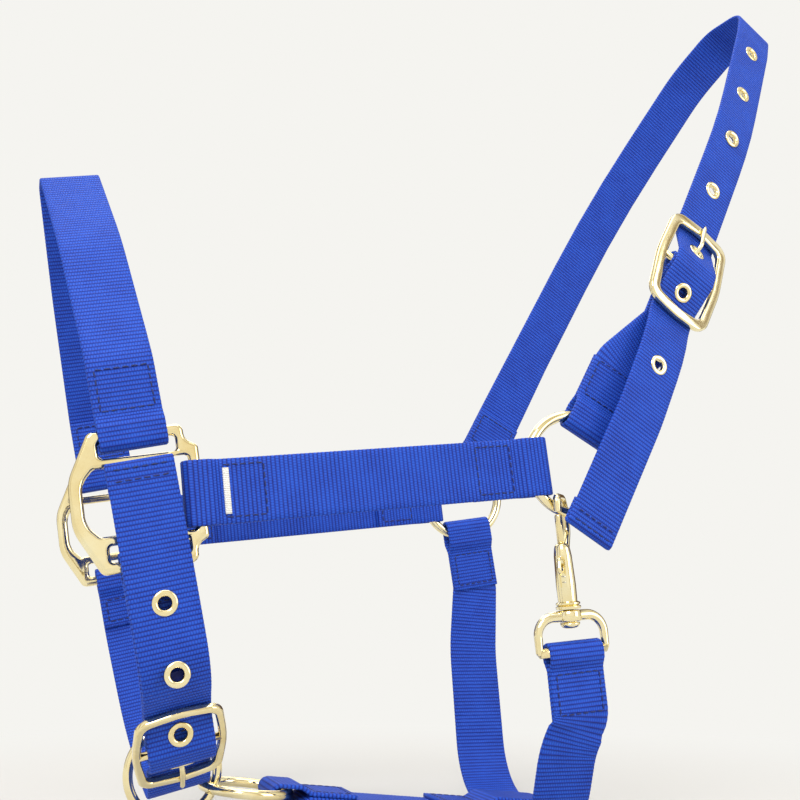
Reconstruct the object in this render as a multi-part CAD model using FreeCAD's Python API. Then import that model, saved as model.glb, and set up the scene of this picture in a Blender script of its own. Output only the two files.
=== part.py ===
"""Webbing head halter for a pony, in the shape it takes on a head.

Row frame, millimetres: +Z up, -X towards the nose, -Y towards the near (buckled) side.
The origin is on the mid-plane, halfway between the squares and the cheek rings.
"""
import math
import os

import FreeCAD
import Part

V = FreeCAD.Vector

# ---- driving dimensions -------------------------------------------------------------
HALF_WIDTH = 60.0            # mid-plane to the cheek straps
SPAN = 182.0                 # square centre to ring centre, along the cheek
CHEEK_TILT = 7.0             # degrees, rising towards the ring
NOSE_TILT = 13.0             # degrees the nose and chin loop leans forward
SQUARE_TILT = 10.0
CROWN_TILT = 61.5            # degrees the crown rises above level

WEB_WIDTH = 25.0
WEB = 1.8                    # webbing thickness
PLY_GAP = 0.1                # between two sewn layers
STRAP_GAP = 0.35             # webbing to a loose metal part
TAIL = 20.0                  # length turned back and sewn

RING_R = 21.5                # cheek ring, wire centre line
RING_WIRE = 4.5
SMALL_RING_R = 18.0          # chin and jaw rings
SMALL_RING_WIRE = 4.0
JAW_LINK_ANGLE = 25.0        # degrees below level where the jaw ring links into the chin ring

NOSE_HEIGHT = 150.0          # square centre to the top of the noseband
CHIN_DEPTH = 110.0           # square centre to the bottom of the chin strap
CROWN_HEIGHT = 321.0         # ring centre to the top of the crown
CROWN_SHIFT = 14.0           # near leg of the crown lies this far behind the ring centre
CROWN_TAIL = 27.0            # free end below the ring centre
CROWN_BUCKLE_UP = 118.5      # buckle bar above the ring centre
CHIN_TAIL = 13.0             # free end from the square centre
THROAT_BOTTOM = -138.0       # row Z of the throat strap's lowest run
THROAT_NEAR_X = 82.5
THROAT_FAR_X = 95.5

EYELET_R = 4.7
EYELET_HOLE_R = 2.4
EYELET_RIM = 0.5
CROWN_EYELET_HEIGHTS = (61.0, 175.0, 213.0, 251.0, 289.0)
CHIN_EYELET_PITCH = 25.4

BUCKLE_BAR = 3.0             # thickness of both buckles and their middle bars
CROWN_BUCKLE_SIZE = (58.0, 39.0, 5.0)    # along the strap, across it, width of the rim
CHIN_BUCKLE_SIZE = (43.0, 34.0, 3.0)
TONGUE_R = 1.1
PIVOT_GAP = 0.08

SQUARE_THICK = 3.6
SQUARE_BAR = 4.2
SQUARE_SLACK = 1.0           # straps meet the squares a few degrees askew
SLEEVE_SLACK = 2.2           # the jaw strap slopes across the throat strap
SQUARE_REACH = 24.0          # square centre to the middle of its top and bottom bars
SQUARE_SIDE_REACH = 20.0     # square centre to the middle of the bar behind it

SNAP_TURN = 48.0             # degrees the hook's plane is turned from the ring's plane
SNAP_TILT = 5.0
SNAP_RING_ANGLE = 252.0      # where on the cheek ring the hook sits
SNAP_OFFSET = 7.1            # bolt axis to the middle of the hook
BARREL_R = 4.6
BORE_R = 3.05
BOLT_ROD_R = 1.6
BOLT_TRAVEL = 8.0
YOKE_WIRE = 4.6
YOKE_DROP = 57.5             # ring wire to the yoke's cross bar, along the snap
YOKE_BAR_R = 1.9
YOKE_BOSS = 4.6              # height of the swivel boss
RIVET_R = 2.2

# heights along the snap, from the middle of the ring's wire
HOOK_THICK = 3.2
HOOK_WALL = 2.3
HOOK_TOP = 7.2
HOOK_TIP = -1.4
BARREL_TOP = -14.0
THUMB_HEIGHT = -21.0
PLUNGER_FOOT = -26.0
SPRING_SEAT = -36.0
BARREL_FOOT = -38.0
COLLAR = 3.0
SPRING_WIRE_R = 0.3
SPRING_TURNS = 4


# ---- small geometry helpers -----------------------------------------------------------
def in_profile(angle):
    """Unit vector in the X-Z plane, measured in degrees from +X towards +Z."""
    return V(math.cos(math.radians(angle)), 0, math.sin(math.radians(angle)))


SIDE = V(0, 1, 0)
CHEEK_DIR = in_profile(CHEEK_TILT)
RING_CENTRE = CHEEK_DIR * (SPAN / 2)
SQUARE_CENTRE = CHEEK_DIR * (-SPAN / 2)
NOSE_UP = in_profile(90 + NOSE_TILT)
SQUARE_UP = in_profile(90 + SQUARE_TILT)
SQUARE_ACROSS = in_profile(SQUARE_TILT)
CROWN_UP = in_profile(CROWN_TILT)
CROWN_ACROSS = in_profile(CROWN_TILT - 90)


def on_side(point, lateral):
    return V(point.x, lateral, point.z)


class Plane:
    """A flat working plane: points are origin + a * first + b * second."""

    def __init__(self, origin, first, second):
        self.origin = origin
        self.first = first
        self.second = second
        self.normal = first.cross(second)
        self.normal.normalize()

    def at(self, a, b):
        return self.origin + self.first * a + self.second * b

    def place(self, shape):
        """Move a shape drawn in X-Y onto this plane."""
        a, b, n, o = self.first, self.second, self.normal, self.origin
        matrix = FreeCAD.Matrix(a.x, b.x, n.x, o.x, a.y, b.y, n.y, o.y, a.z, b.z, n.z, o.z, 0, 0, 0, 1)
        placed = shape.copy()
        placed.Placement = FreeCAD.Placement(matrix).multiply(placed.Placement)
        return placed

    def stop(self, a, b, radius=0.0):
        """One point of a strap's route, bent with the given radius."""
        return (self.at(a, b), self.normal, radius)


def bend(before, corner, after, radius, width_dir):
    """Stations round one corner of a route."""
    to_before = (before - corner).normalize()
    to_after = (after - corner).normalize()
    turn = math.pi - to_before.getAngle(to_after)
    if turn < 0.01 or radius <= 0:
        return [(corner, (after - before).normalize(), width_dir)]
    reach = radius * math.tan(turn / 2)
    start = corner + to_before * reach
    inward = (to_before + to_after).normalize()
    centre = corner + inward * (radius / math.cos(turn / 2))
    spoke = (start - centre).normalize()
    heading = to_before * -1
    steps = max(2, math.ceil(math.degrees(turn) / 18))
    stations = []
    for step in range(steps + 1):
        angle = turn * step / steps
        point = centre + (spoke * math.cos(angle) + heading * math.sin(angle)) * radius
        tangent = heading * math.cos(angle) - spoke * math.sin(angle)
        stations.append((point, tangent, width_dir))
    return stations


def ribbon(route, width=WEB_WIDTH, thickness=WEB):
    """A flat strap along a route of (point, width direction, bend radius)."""
    stations = []
    for index, (point, width_dir, radius) in enumerate(route):
        if index == 0:
            stations.append((point, (route[1][0] - point).normalize(), width_dir))
        elif index == len(route) - 1:
            stations.append((point, (point - route[-2][0]).normalize(), width_dir))
        else:
            stations += bend(route[index - 1][0], point, route[index + 1][0], radius, width_dir)
    sections = []
    for point, tangent, width_dir in stations:
        across = width_dir * (width / 2)
        through = tangent.cross(width_dir).normalize() * (thickness / 2)
        corners = [point + across + through, point - across + through,
                   point - across - through, point + across - through]
        sections.append(Part.makePolygon(corners + corners[:1]))
    return Part.makeLoft(sections, True, True)


def eye(plane, bar, towards, inside, half_gap, front, back, tail=TAIL, sewn_bend=15.0):
    """Route of a strap end turned round a bar, from its tip to the start of the strap.

    bar is the bar's centre in the plane; towards points along the strap and inside to the
    side of the turned-back layer, both as unit pairs in the plane. half_gap, front and back
    are the clear sizes from the bar's centre sideways, towards the strap and away from it.
    The strap runs straight beside its turned-back end, then bends with sewn_bend.
    """
    ply = (WEB + PLY_GAP) / 2
    side = half_gap + WEB / 2
    drop = back + WEB / 2
    throat = front + 0.8
    neck = throat + side + 0.8
    steps = [(ply, tail + neck, 0), (ply, neck, 2.5), (side, throat, 2.5), (side, -drop, side - 0.02),
             (-side, -drop, side - 0.02), (-side, throat, 2.5), (-ply, neck, 2.5)]
    if sewn_bend:
        steps.append((-ply, neck + tail, sewn_bend))
    route = []
    for sideways, along, radius in steps:
        a = bar[0] + towards[0] * along + inside[0] * sideways
        b = bar[1] + towards[1] * along + inside[1] * sideways
        route.append(plane.stop(a, b, radius))
    return route


def ring_eye(plane, centre, towards, inside, radius, wire, tail=TAIL):
    """A strap end round a ring's wire: the gap also clears the wire's curve."""
    bar = (centre[0] + towards[0] * radius, centre[1] + towards[1] * radius)
    hole_r = radius - wire / 2
    back = radius - math.sqrt(hole_r ** 2 - (WEB_WIDTH / 2) ** 2) + STRAP_GAP
    gap = wire / 2 + STRAP_GAP
    return eye(plane, bar, towards, inside, gap, gap, back, tail)


def square_eye(plane, bar, towards, inside, tail=TAIL):
    """A strap end round a square's bar, which it meets a few degrees askew."""
    return eye(plane, bar, towards, inside, SQUARE_THICK / 2 + STRAP_GAP,
               SQUARE_BAR / 2 + SQUARE_SLACK, SQUARE_BAR / 2 + 2 * SQUARE_SLACK, tail)


def wire_ring(centre, axis, radius, wire):
    return Part.makeTorus(radius, wire / 2, centre, axis)


def rod(start, end, radius):
    return Part.makeCylinder(radius, (end - start).Length, start, end - start)


def wire_path(points, radius):
    """Round wire along straight runs, with ball corners."""
    solid = rod(points[0], points[1], radius)
    for first, second in zip(points[1:], points[2:]):
        solid = solid.fuse(Part.makeSphere(radius, first))
        solid = solid.fuse(rod(first, second, radius))
    return solid.removeSplitter()


def outline(corners):
    """Closed face in X-Y from (x, y, corner radius)."""
    edges = []
    ends = []
    count = len(corners)
    for index, (x, y, radius) in enumerate(corners):
        here = V(x, y, 0)
        before = V(*corners[index - 1][:2], 0)
        after = V(*corners[(index + 1) % count][:2], 0)
        stations = bend(before, here, after, radius, V(0, 0, 1))
        if len(stations) == 1:
            ends.append((here, here))
            continue
        middle = bend_middle(before, here, after, radius)
        edges.append(Part.Arc(stations[0][0], middle, stations[-1][0]).toShape())
        ends.append((stations[0][0], stations[-1][0]))
    for index in range(count):
        start = ends[index][1]
        end = ends[(index + 1) % count][0]
        if start.distanceToPoint(end) > 1e-6:
            edges.append(Part.LineSegment(start, end).toShape())
    return Part.Face(Part.Wire(Part.__sortEdges__(edges)))


def bend_middle(before, corner, after, radius):
    to_before = (before - corner).normalize()
    to_after = (after - corner).normalize()
    turn = math.pi - to_before.getAngle(to_after)
    inward = (to_before + to_after).normalize()
    return corner + inward * (radius / math.cos(turn / 2) - radius)


def plate(face, thickness):
    face.translate(V(0, 0, -thickness / 2))
    return face.extrude(V(0, 0, thickness))


def block(x0, x1, y0, y1, z0, z1):
    return Part.makeBox(x1 - x0, y1 - y0, z1 - z0, V(x0, y0, z0))


# ---- working planes --------------------------------------------------------------------
NOSE_PLANE = Plane(SQUARE_CENTRE, SIDE, NOSE_UP)
CHIN_PLANE = Plane(SQUARE_CENTRE, SIDE, NOSE_UP * -1)
CHEEK_PLANE = Plane(V(0, 0, 0), CHEEK_DIR, SIDE)
RING_CROWN_PLANE = Plane(RING_CENTRE, SIDE, CROWN_UP)
CROWN_LATERAL = (SIDE * (2 * HALF_WIDTH) - CROWN_ACROSS * CROWN_SHIFT).normalize()
CROWN_PLANE = Plane(RING_CENTRE + CROWN_ACROSS * (CROWN_SHIFT / 2), CROWN_LATERAL, CROWN_UP)
THROAT_TOP_PLANE = Plane(RING_CENTRE, SIDE, in_profile(279))
THROAT_MIDDLE = V((THROAT_NEAR_X + THROAT_FAR_X) / 2, 0, 0)
THROAT_LATERAL = V(THROAT_FAR_X - THROAT_NEAR_X, 2 * HALF_WIDTH, 0).normalize()
THROAT_PLANE = Plane(THROAT_MIDDLE, THROAT_LATERAL, V(0, 0, -1))

INWARD_NEAR = (1, 0)
INWARD_FAR = (-1, 0)
ALONG = (0, 1)


# ---- buckles -----------------------------------------------------------------------------
class BucklePlace:
    """Where a buckle sits: bar centre in a strap's plane, and the way to the strap's free end."""

    def __init__(self, plane, bar, to_tail, outward, size, tongue_rise, tongue_eyelet):
        self.length, self.width, self.rim = size
        self.tongue_rise = tongue_rise
        self.tongue_eyelet = tongue_eyelet
        self.end_bar = (self.length - self.rim) / 2
        self.plane = plane
        self.bar = bar
        self.to_tail = to_tail
        self.outward = outward
        tail_dir = plane.first * to_tail[0] + plane.second * to_tail[1]
        out_dir = plane.first * outward[0] + plane.second * outward[1]
        self.frame_plane = Plane(plane.at(*bar), tail_dir.cross(out_dir), tail_dir)

    def stop(self, along, out, radius):
        a = self.bar[0] + self.to_tail[0] * along + self.outward[0] * out
        b = self.bar[1] + self.to_tail[1] * along + self.outward[1] * out
        return self.plane.stop(a, b, radius)

    def at(self, along, out):
        return self.stop(along, out, 0)[0]


UNDER = BUCKLE_BAR / 2 + 0.6 + WEB / 2
OVER = BUCKLE_BAR / 2 + 2 * STRAP_GAP + WEB * 1.5
BILLET_UNDER = UNDER + WEB + 0.35


def unit(a, b):
    length = math.hypot(a, b)
    return (a / length, b / length)


CROWN_LEAN = unit(-10, -57)
CROWN_OUT = (CROWN_LEAN[1], -CROWN_LEAN[0])
CROWN_BUCKLE = BucklePlace(CROWN_PLANE, (-58.0, CROWN_BUCKLE_UP), CROWN_LEAN, CROWN_OUT,
                           CROWN_BUCKLE_SIZE, [(-7.5, -2.6), (-15.5, 4.0)], 12.0)
CHIN_LEAN = unit(-0.74, -0.67)
CHIN_OUT = (CHIN_LEAN[1], -CHIN_LEAN[0])
CHIN_BUCKLE = BucklePlace(CHIN_PLANE, (-37.5, 92.5), CHIN_LEAN, CHIN_OUT,
                          CHIN_BUCKLE_SIZE, [(-5.6, -0.2), (-12.2, 3.6)], 8.6)


def through_buckle(place):
    """A strap's route through a buckle: under the end bar, over the middle one, under the other."""
    end = place.end_bar
    return [place.stop(-end - 4, -UNDER, 6), place.stop(-end + 5.5, -UNDER, 2.5),
            place.stop(-3.6, OVER, 3), place.stop(3.6, OVER, 3),
            place.stop(end - 5.5, -UNDER, 2.5), place.stop(end + 4, -UNDER, 6)]


def buckle_frame(place):
    half_w = place.width / 2
    half_l = place.length / 2
    bow = 1.2
    outer = outline([(-half_w + bow, -half_l, 6), (half_w - bow, -half_l, 6), (half_w + bow, 0, 60),
                     (half_w - bow, half_l, 6), (-half_w + bow, half_l, 6), (-half_w - bow, 0, 60)])
    in_w = half_w - place.rim
    in_l = half_l - place.rim
    window = outline([(-in_w + bow, -in_l, 3), (in_w - bow, -in_l, 3), (in_w + bow, 0, 50),
                      (in_w - bow, in_l, 3), (-in_w + bow, in_l, 3), (-in_w - bow, 0, 50)])
    frame = plate(outer, BUCKLE_BAR).cut(plate(window, BUCKLE_BAR + 2))
    bar = rod(V(-half_w + 1, 0, 0), V(half_w - 1, 0, 0), BUCKLE_BAR / 2)
    return place.frame_plane.place(frame.fuse(bar).removeSplitter())


def buckle_tongue(place):
    """The tongue turns on the middle bar, comes up through an eyelet and rests on the end bar."""
    bar_r = BUCKLE_BAR / 2
    width = 3.0
    collar = Part.makeCylinder(bar_r + 1.3, width, V(-width / 2, 0, 0), V(1, 0, 0))
    rest = bar_r + TONGUE_R + 0.3
    end = -place.end_bar
    profile = [(-bar_r - 0.7, 0)] + place.tongue_rise + [(end, rest), (end - 3, rest - 0.3)]
    prong = wire_path([V(0, along, out) for along, out in profile], TONGUE_R)
    bore = Part.makeCylinder(bar_r + PIVOT_GAP, width + 4, V(-width / 2 - 2, 0, 0), V(1, 0, 0))
    return place.frame_plane.place(collar.fuse(prong).cut(bore).removeSplitter())


def eyelet(centre, axis):
    """A rolled brass eyelet: a tube with a flange on each face of the webbing."""
    height = WEB / 2 + EYELET_RIM
    wall = 0.7
    half = outline([(EYELET_HOLE_R, -height, 0.2), (EYELET_R, -height, 0.2), (EYELET_R, -WEB / 2, 0),
                    (EYELET_HOLE_R + wall, -WEB / 2, 0), (EYELET_HOLE_R + wall, WEB / 2, 0),
                    (EYELET_R, WEB / 2, 0), (EYELET_R, height, 0.2), (EYELET_HOLE_R, height, 0.2)])
    solid = half.revolve(V(0, 0, 0), V(0, 1, 0), 360)
    solid.Placement = FreeCAD.Placement(centre, FreeCAD.Rotation(V(0, 1, 0), axis))
    return solid


def eyelet_hole(centre, axis):
    radius = EYELET_HOLE_R + 0.7
    return Part.makeCylinder(radius, 8, centre - axis * 4, axis)


# ---- strap routes ----------------------------------------------------------------------------
def noseband_route():
    near = square_eye(NOSE_PLANE, (-HALF_WIDTH, SQUARE_REACH), ALONG, INWARD_NEAR)
    far = square_eye(NOSE_PLANE, (HALF_WIDTH, SQUARE_REACH), ALONG, INWARD_FAR)
    top = NOSE_HEIGHT - WEB / 2
    arch = [(-57, 62, 40), (-37, 108, 90), (-6, top, 5.2), (6, top, 5.2), (37, 108, 90), (57, 62, 40)]
    return near + [NOSE_PLANE.stop(*step) for step in arch] + far[::-1]


def cheek_route(lateral, inside):
    start = square_eye(CHEEK_PLANE, (-SPAN / 2 + SQUARE_SIDE_REACH, lateral), (1, 0), inside)
    end = ring_eye(CHEEK_PLANE, (SPAN / 2, lateral), (-1, 0), inside, RING_R, RING_WIRE)
    middle = CHEEK_PLANE.stop(0, lateral - inside[1] * 1.2, 400)
    return start + [middle] + end[::-1]


CROWN_TOP = CROWN_HEIGHT - WEB / 2
CROWN_NEAR_LEG = [(-69.6, 35, 120), (-65.0, 75, 120)]
CROWN_OVER = [(-43, 218, 300), (-22, 298, 60), (-14, CROWN_TOP, 13.5), (14, CROWN_TOP, 13.5), (32, 296, 60),
              (58, 200, 400), (61, 95, 300)]


def turned_end(plane, lateral, end, length, inside):
    """A free end folded back under itself and sewn: route from the hidden tip outwards."""
    under = lateral + inside * (WEB + PLY_GAP)
    fold = (WEB + PLY_GAP) / 2 - 0.02
    return [plane.stop(under, end + length), plane.stop(under, end, fold), plane.stop(lateral, end, fold)]


def crown_route():
    tail = turned_end(CROWN_PLANE, -70.6, -CROWN_TAIL, 11, 1)
    near = [CROWN_PLANE.stop(*step) for step in CROWN_NEAR_LEG]
    over = [CROWN_PLANE.stop(*step) for step in CROWN_OVER]
    far = ring_eye(RING_CROWN_PLANE, (HALF_WIDTH, 0), ALONG, INWARD_FAR, RING_R, RING_WIRE)
    return tail + near + through_buckle(CROWN_BUCKLE)[::-1] + over + far[::-1]


def chin_route():
    tail = turned_end(CHIN_PLANE, -66.3, -CHIN_TAIL, 11, 1)
    near = [CHIN_PLANE.stop(-66.3, 32, 60), CHIN_PLANE.stop(-64.6, 66, 26)]
    bottom = [CHIN_PLANE.stop(-9, CHIN_DEPTH + 4.2, 15), CHIN_PLANE.stop(18, CHIN_DEPTH - 3, 40),
              CHIN_PLANE.stop(46, 86, 34), CHIN_PLANE.stop(58.5, 56, 60)]
    far = square_eye(CHIN_PLANE, (HALF_WIDTH, SQUARE_REACH), ALONG, INWARD_FAR, 14)
    return tail + near + through_buckle(CHIN_BUCKLE)[::-1] + bottom + far[::-1]


def billet_buckle_eye(place, tail):
    """The billet's fold round the buckle's middle bar, dipping under the end bar."""
    dip = unit(place.end_bar - 5.5, -BILLET_UNDER - WEB / 2)
    towards = (place.to_tail[0] * dip[0] + place.outward[0] * dip[1],
               place.to_tail[1] * dip[0] + place.outward[1] * dip[1])
    inside = (-towards[1], towards[0])
    if inside[0] * place.outward[0] + inside[1] * place.outward[1] > 0:
        inside = (towards[1], -towards[0])
    gap = BUCKLE_BAR / 2 + STRAP_GAP
    return eye(place.plane, place.bar, towards, inside, gap, gap, gap, tail, 0)


def billet_dip(place):
    """The billet's outer layer passing under the free end and the end bar."""
    below = -BILLET_UNDER - EYELET_RIM - 0.8
    end = place.end_bar
    return [place.stop(end + 8, below, 12), place.stop(end - 5.5, -BILLET_UNDER, 4)]


def tongue_slot(place):
    """The slit in a billet's fold that the tongue passes through."""
    return place.frame_plane.place(block(-2.3, 2.3, -6.0, 5.2, -4.0, 6.0))


def crown_billet():
    ring = ring_eye(RING_CROWN_PLANE, (-HALF_WIDTH, 0), ALONG, INWARD_NEAR, RING_R, RING_WIRE, 22)
    bar = billet_buckle_eye(CROWN_BUCKLE, 8.5)
    return ribbon(ring + billet_dip(CROWN_BUCKLE) + bar[::-1]).cut(tongue_slot(CROWN_BUCKLE))


def chin_billet():
    square = square_eye(CHIN_PLANE, (-HALF_WIDTH, SQUARE_REACH), ALONG, INWARD_NEAR, 8)
    bar = billet_buckle_eye(CHIN_BUCKLE, 8.5)
    middle = [CHIN_PLANE.stop(-58.6, 60, 16)]
    return ribbon(square + middle + billet_dip(CHIN_BUCKLE) + bar[::-1]).cut(tongue_slot(CHIN_BUCKLE))


def throat_route():
    far = ring_eye(THROAT_TOP_PLANE, (HALF_WIDTH, 0), ALONG, INWARD_FAR, RING_R, RING_WIRE)
    gap = YOKE_BAR_R + STRAP_GAP
    near = eye(YOKE_PLANE, (0, 0), ALONG, INWARD_NEAR, gap, gap, gap)
    low = -THROAT_BOTTOM
    bottom = [(-61.5, 106, 40), (-47, low, 26), (45, low, 30), (59.5, 70, 90)]
    return near + [THROAT_PLANE.stop(*step) for step in bottom] + far[::-1]


def jaw_route():
    """From the jaw ring to a sleeve that the throat strap runs through."""
    ring = ring_eye(JAW_PLANE, (0, 0), (1, 0), (0, 1), SMALL_RING_R, SMALL_RING_WIRE)
    half = WEB_WIDTH / 2 + STRAP_GAP + SLEEVE_SLACK
    reach = (THROAT_CROSSING - JAW_CENTRE).Length
    gap = WEB / 2 + STRAP_GAP + SLEEVE_SLACK
    sleeve = eye(JAW_PLANE, (reach, 0), (-1, 0), (0, 1), gap, half, half)
    return ring + sleeve[::-1]


# ---- places of the hanging hardware -------------------------------------------------------------
NEAR_RING = on_side(RING_CENTRE, -HALF_WIDTH)
FAR_RING = on_side(RING_CENTRE, HALF_WIDTH)
CHIN_RING = CHIN_PLANE.at(0, CHIN_DEPTH - 3.0)
THROAT_CROSSING = THROAT_PLANE.at(0, -THROAT_BOTTOM)
JAW_LINK = CHIN_RING + in_profile(-JAW_LINK_ANGLE) * (SMALL_RING_R - SMALL_RING_WIRE - 0.4)
JAW_DIR = (THROAT_CROSSING - JAW_LINK).normalize()
JAW_CENTRE = JAW_LINK + JAW_DIR * SMALL_RING_R
JAW_PLANE = Plane(JAW_CENTRE, JAW_DIR, SIDE.cross(JAW_DIR) * -1)

SNAP_UP = V(-math.sin(math.radians(SNAP_TILT)), 0, math.cos(math.radians(SNAP_TILT)))
SNAP_LEVEL = V(math.cos(math.radians(SNAP_TILT)), 0, math.sin(math.radians(SNAP_TILT)))
SNAP_ACROSS = SNAP_LEVEL * math.cos(math.radians(SNAP_TURN)) + SIDE * math.sin(math.radians(SNAP_TURN))
SNAP_ORIGIN = NEAR_RING + in_profile(SNAP_RING_ANGLE) * RING_R - SNAP_ACROSS * SNAP_OFFSET
HOOK_PLANE = Plane(SNAP_ORIGIN, SNAP_ACROSS, SNAP_UP)
YOKE_DRAW = Plane(SNAP_ORIGIN, SNAP_LEVEL, SNAP_UP)
YOKE_CENTRE = SNAP_ORIGIN - SNAP_UP * YOKE_DROP
YOKE_PLANE = Plane(YOKE_CENTRE, SIDE, SNAP_UP * -1)


# ---- cast and stamped hardware --------------------------------------------------------------------
def square(lateral):
    """A cast halter square: a bowed blank bar in front and three strap slots."""
    reach = SQUARE_REACH + SQUARE_BAR / 2
    side = SQUARE_SIDE_REACH + SQUARE_BAR / 2
    ear = WEB_WIDTH / 2 + 4.8
    outer = outline([(-ear, reach, 3), (ear, reach, 3), (ear, side - 2.5, 2.5), (side, ear, 2.5),
                     (side, -ear, 2.5), (ear, -side + 2.5, 2.5), (ear, -reach, 3), (-ear, -reach, 3),
                     (-ear - 8.6, -9, 16), (-ear - 8.6, 9, 16)])
    slot_in = reach - SQUARE_BAR - 6
    half_slot = WEB_WIDTH / 2 + SQUARE_SLACK + 0.6
    body = plate(outer, SQUARE_THICK)
    slots = [(-half_slot, half_slot, slot_in, reach - SQUARE_BAR),
             (-half_slot, half_slot, -reach + SQUARE_BAR, -slot_in),
             (side - SQUARE_BAR - 6, side - SQUARE_BAR, -half_slot, half_slot),
             (-half_slot - 4.6, side - SQUARE_BAR - 9.5, -slot_in + 3.6, slot_in - 3.6)]
    for x0, x1, y0, y1 in slots:
        window = outline([(x0, y0, 1.5), (x1, y0, 1.5), (x1, y1, 1.5), (x0, y1, 1.5)])
        body = body.cut(plate(window, SQUARE_THICK + 2))
    plane = Plane(on_side(SQUARE_CENTRE, lateral), SQUARE_ACROSS, SQUARE_UP)
    return plane.place(body)


def snap_body():
    """Hook, barrel and collar in one casting, bored for the bolt and its spring."""
    tip = 1.9
    inner = HOOK_TOP - HOOK_WALL
    hook = outline([(-tip, HOOK_TIP, 0.6), (-tip, 3.6, 2.0), (3.4, HOOK_TOP, 3.0), (11.8, HOOK_TOP, 4.5),
                    (15.4, 2.0, 5), (15.4, -7.5, 6), (6.0, -19, 4), (BARREL_R, -26, 0), (3.3, -26, 0),
                    (3.3, BARREL_TOP, 0), (5.0, -12.5, 2), (12.4, -5.0, 3), (12.4, 1.6, 2.5),
                    (10.4, inner, 2.0), (tip, inner, 1.0), (tip, HOOK_TIP, 0.6)])
    body = plate(hook, HOOK_THICK)
    body = body.fuse(rod(V(0, BARREL_FOOT, 0), V(0, BARREL_TOP, 0), BARREL_R))
    body = body.fuse(rod(V(0, BARREL_FOOT - COLLAR, 0), V(0, BARREL_FOOT, 0), BARREL_R + 1.1))
    body = body.cut(rod(V(0, SPRING_SEAT, 0), V(0, BARREL_TOP - 2, 0), BORE_R))
    body = body.cut(rod(V(0, BARREL_TOP - 3, 0), V(0, BARREL_TOP + 0.5, 0), BOLT_ROD_R + PIVOT_GAP))
    slot_foot = THUMB_HEIGHT - 2.8 - BOLT_TRAVEL
    body = body.cut(block(-BARREL_R - 3, -0.5, slot_foot, THUMB_HEIGHT + 2.2, -1.5, 1.5))
    return HOOK_PLANE.place(body.removeSplitter())


def snap_bolt():
    """Spring-loaded bolt with a thumb piece in the barrel's slot."""
    plunger = rod(V(0, PLUNGER_FOOT, 0), V(0, BARREL_TOP - 2.4, 0), BORE_R - 0.1)
    stem = rod(V(0, BARREL_TOP - 4, 0), V(0, HOOK_TIP - 0.3, 0), BOLT_ROD_R)
    arm = block(-8.4, 0, THUMB_HEIGHT - 1.3, THUMB_HEIGHT + 1.3, -1.1, 1.1)
    knob = Part.makeSphere(2.3, V(-8.6, THUMB_HEIGHT - 0.6, 0))
    drop = rod(V(-8.6, THUMB_HEIGHT - 0.6, 0), V(-9.4, THUMB_HEIGHT - 4.2, 0), 1.5)
    bolt = plunger.fuse(stem).fuse(arm).fuse(knob).fuse(drop)
    return HOOK_PLANE.place(bolt.removeSplitter())


def snap_spring():
    """Coil spring between the barrel's floor and the bolt, its wire drawn with eight sides."""
    wire = SPRING_WIRE_R
    coil_r = BORE_R - 0.25 - wire
    foot = SPRING_SEAT + wire + 0.05
    height = PLUNGER_FOOT - SPRING_SEAT - 2 * wire - 0.1
    count = SPRING_TURNS * 20
    sections = []
    for step in range(count + 1):
        angle = 2 * math.pi * SPRING_TURNS * step / count
        radial = V(math.cos(angle), 0, math.sin(angle))
        centre = radial * coil_r + V(0, foot + height * step / count, 0)
        corners = []
        for side in range(8):
            turn = math.pi * side / 4
            corners.append(centre + radial * (wire * math.cos(turn)) + V(0, wire * math.sin(turn), 0))
        sections.append(Part.makePolygon(corners + corners[:1]))
    return HOOK_PLANE.place(Part.makeLoft(sections, True, True))


def snap_rivet():
    """The swivel post, headed over under the yoke."""
    top = BARREL_FOOT - COLLAR
    post = rod(V(0, top - YOKE_BOSS - 1.2, 0), V(0, top, 0), RIVET_R)
    head = rod(V(0, top - YOKE_BOSS - 3.0, 0), V(0, top - YOKE_BOSS - 0.6, 0), RIVET_R + 1.9)
    return HOOK_PLANE.place(post.fuse(head).removeSplitter())


def snap_yoke():
    """U-shaped yoke: a bored boss on its arch and a cross bar for the throat strap."""
    top = BARREL_FOOT - COLLAR - 0.3
    arch = top - YOKE_WIRE / 2
    leg = WEB_WIDTH / 2 + 0.6 + YOKE_WIRE / 2
    foot = -YOKE_DROP
    points = [(-leg, foot), (-leg, arch - 6.5), (-leg + 4.2, arch - 1.8), (-4, arch), (4, arch),
              (leg - 4.2, arch - 1.8), (leg, arch - 6.5), (leg, foot)]
    frame = wire_path([V(x, y, 0) for x, y in points], YOKE_WIRE / 2)
    frame = frame.fuse(Part.makeSphere(YOKE_WIRE / 2, V(-leg, foot, 0)))
    frame = frame.fuse(Part.makeSphere(YOKE_WIRE / 2, V(leg, foot, 0)))
    frame = frame.fuse(rod(V(-leg, foot, 0), V(leg, foot, 0), YOKE_BAR_R))
    frame = frame.fuse(rod(V(0, top - YOKE_BOSS, 0), V(0, top, 0), 5.0))
    frame = frame.cut(rod(V(0, top - 12, 0), V(0, top + 5, 0), RIVET_R + PIVOT_GAP))
    return YOKE_DRAW.place(frame.removeSplitter())


# ---- eyelets, thread and tab -------------------------------------------------------------------
def crown_eyelet_places():
    """Centres and axes of the crown's eyelets, one of them round the tongue."""
    places = [place_on_route(CROWN_PLANE, crown_route(), up) for up in CROWN_EYELET_HEIGHTS]
    places.append(lower_window_place(CROWN_BUCKLE, 0.6))
    return places


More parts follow.
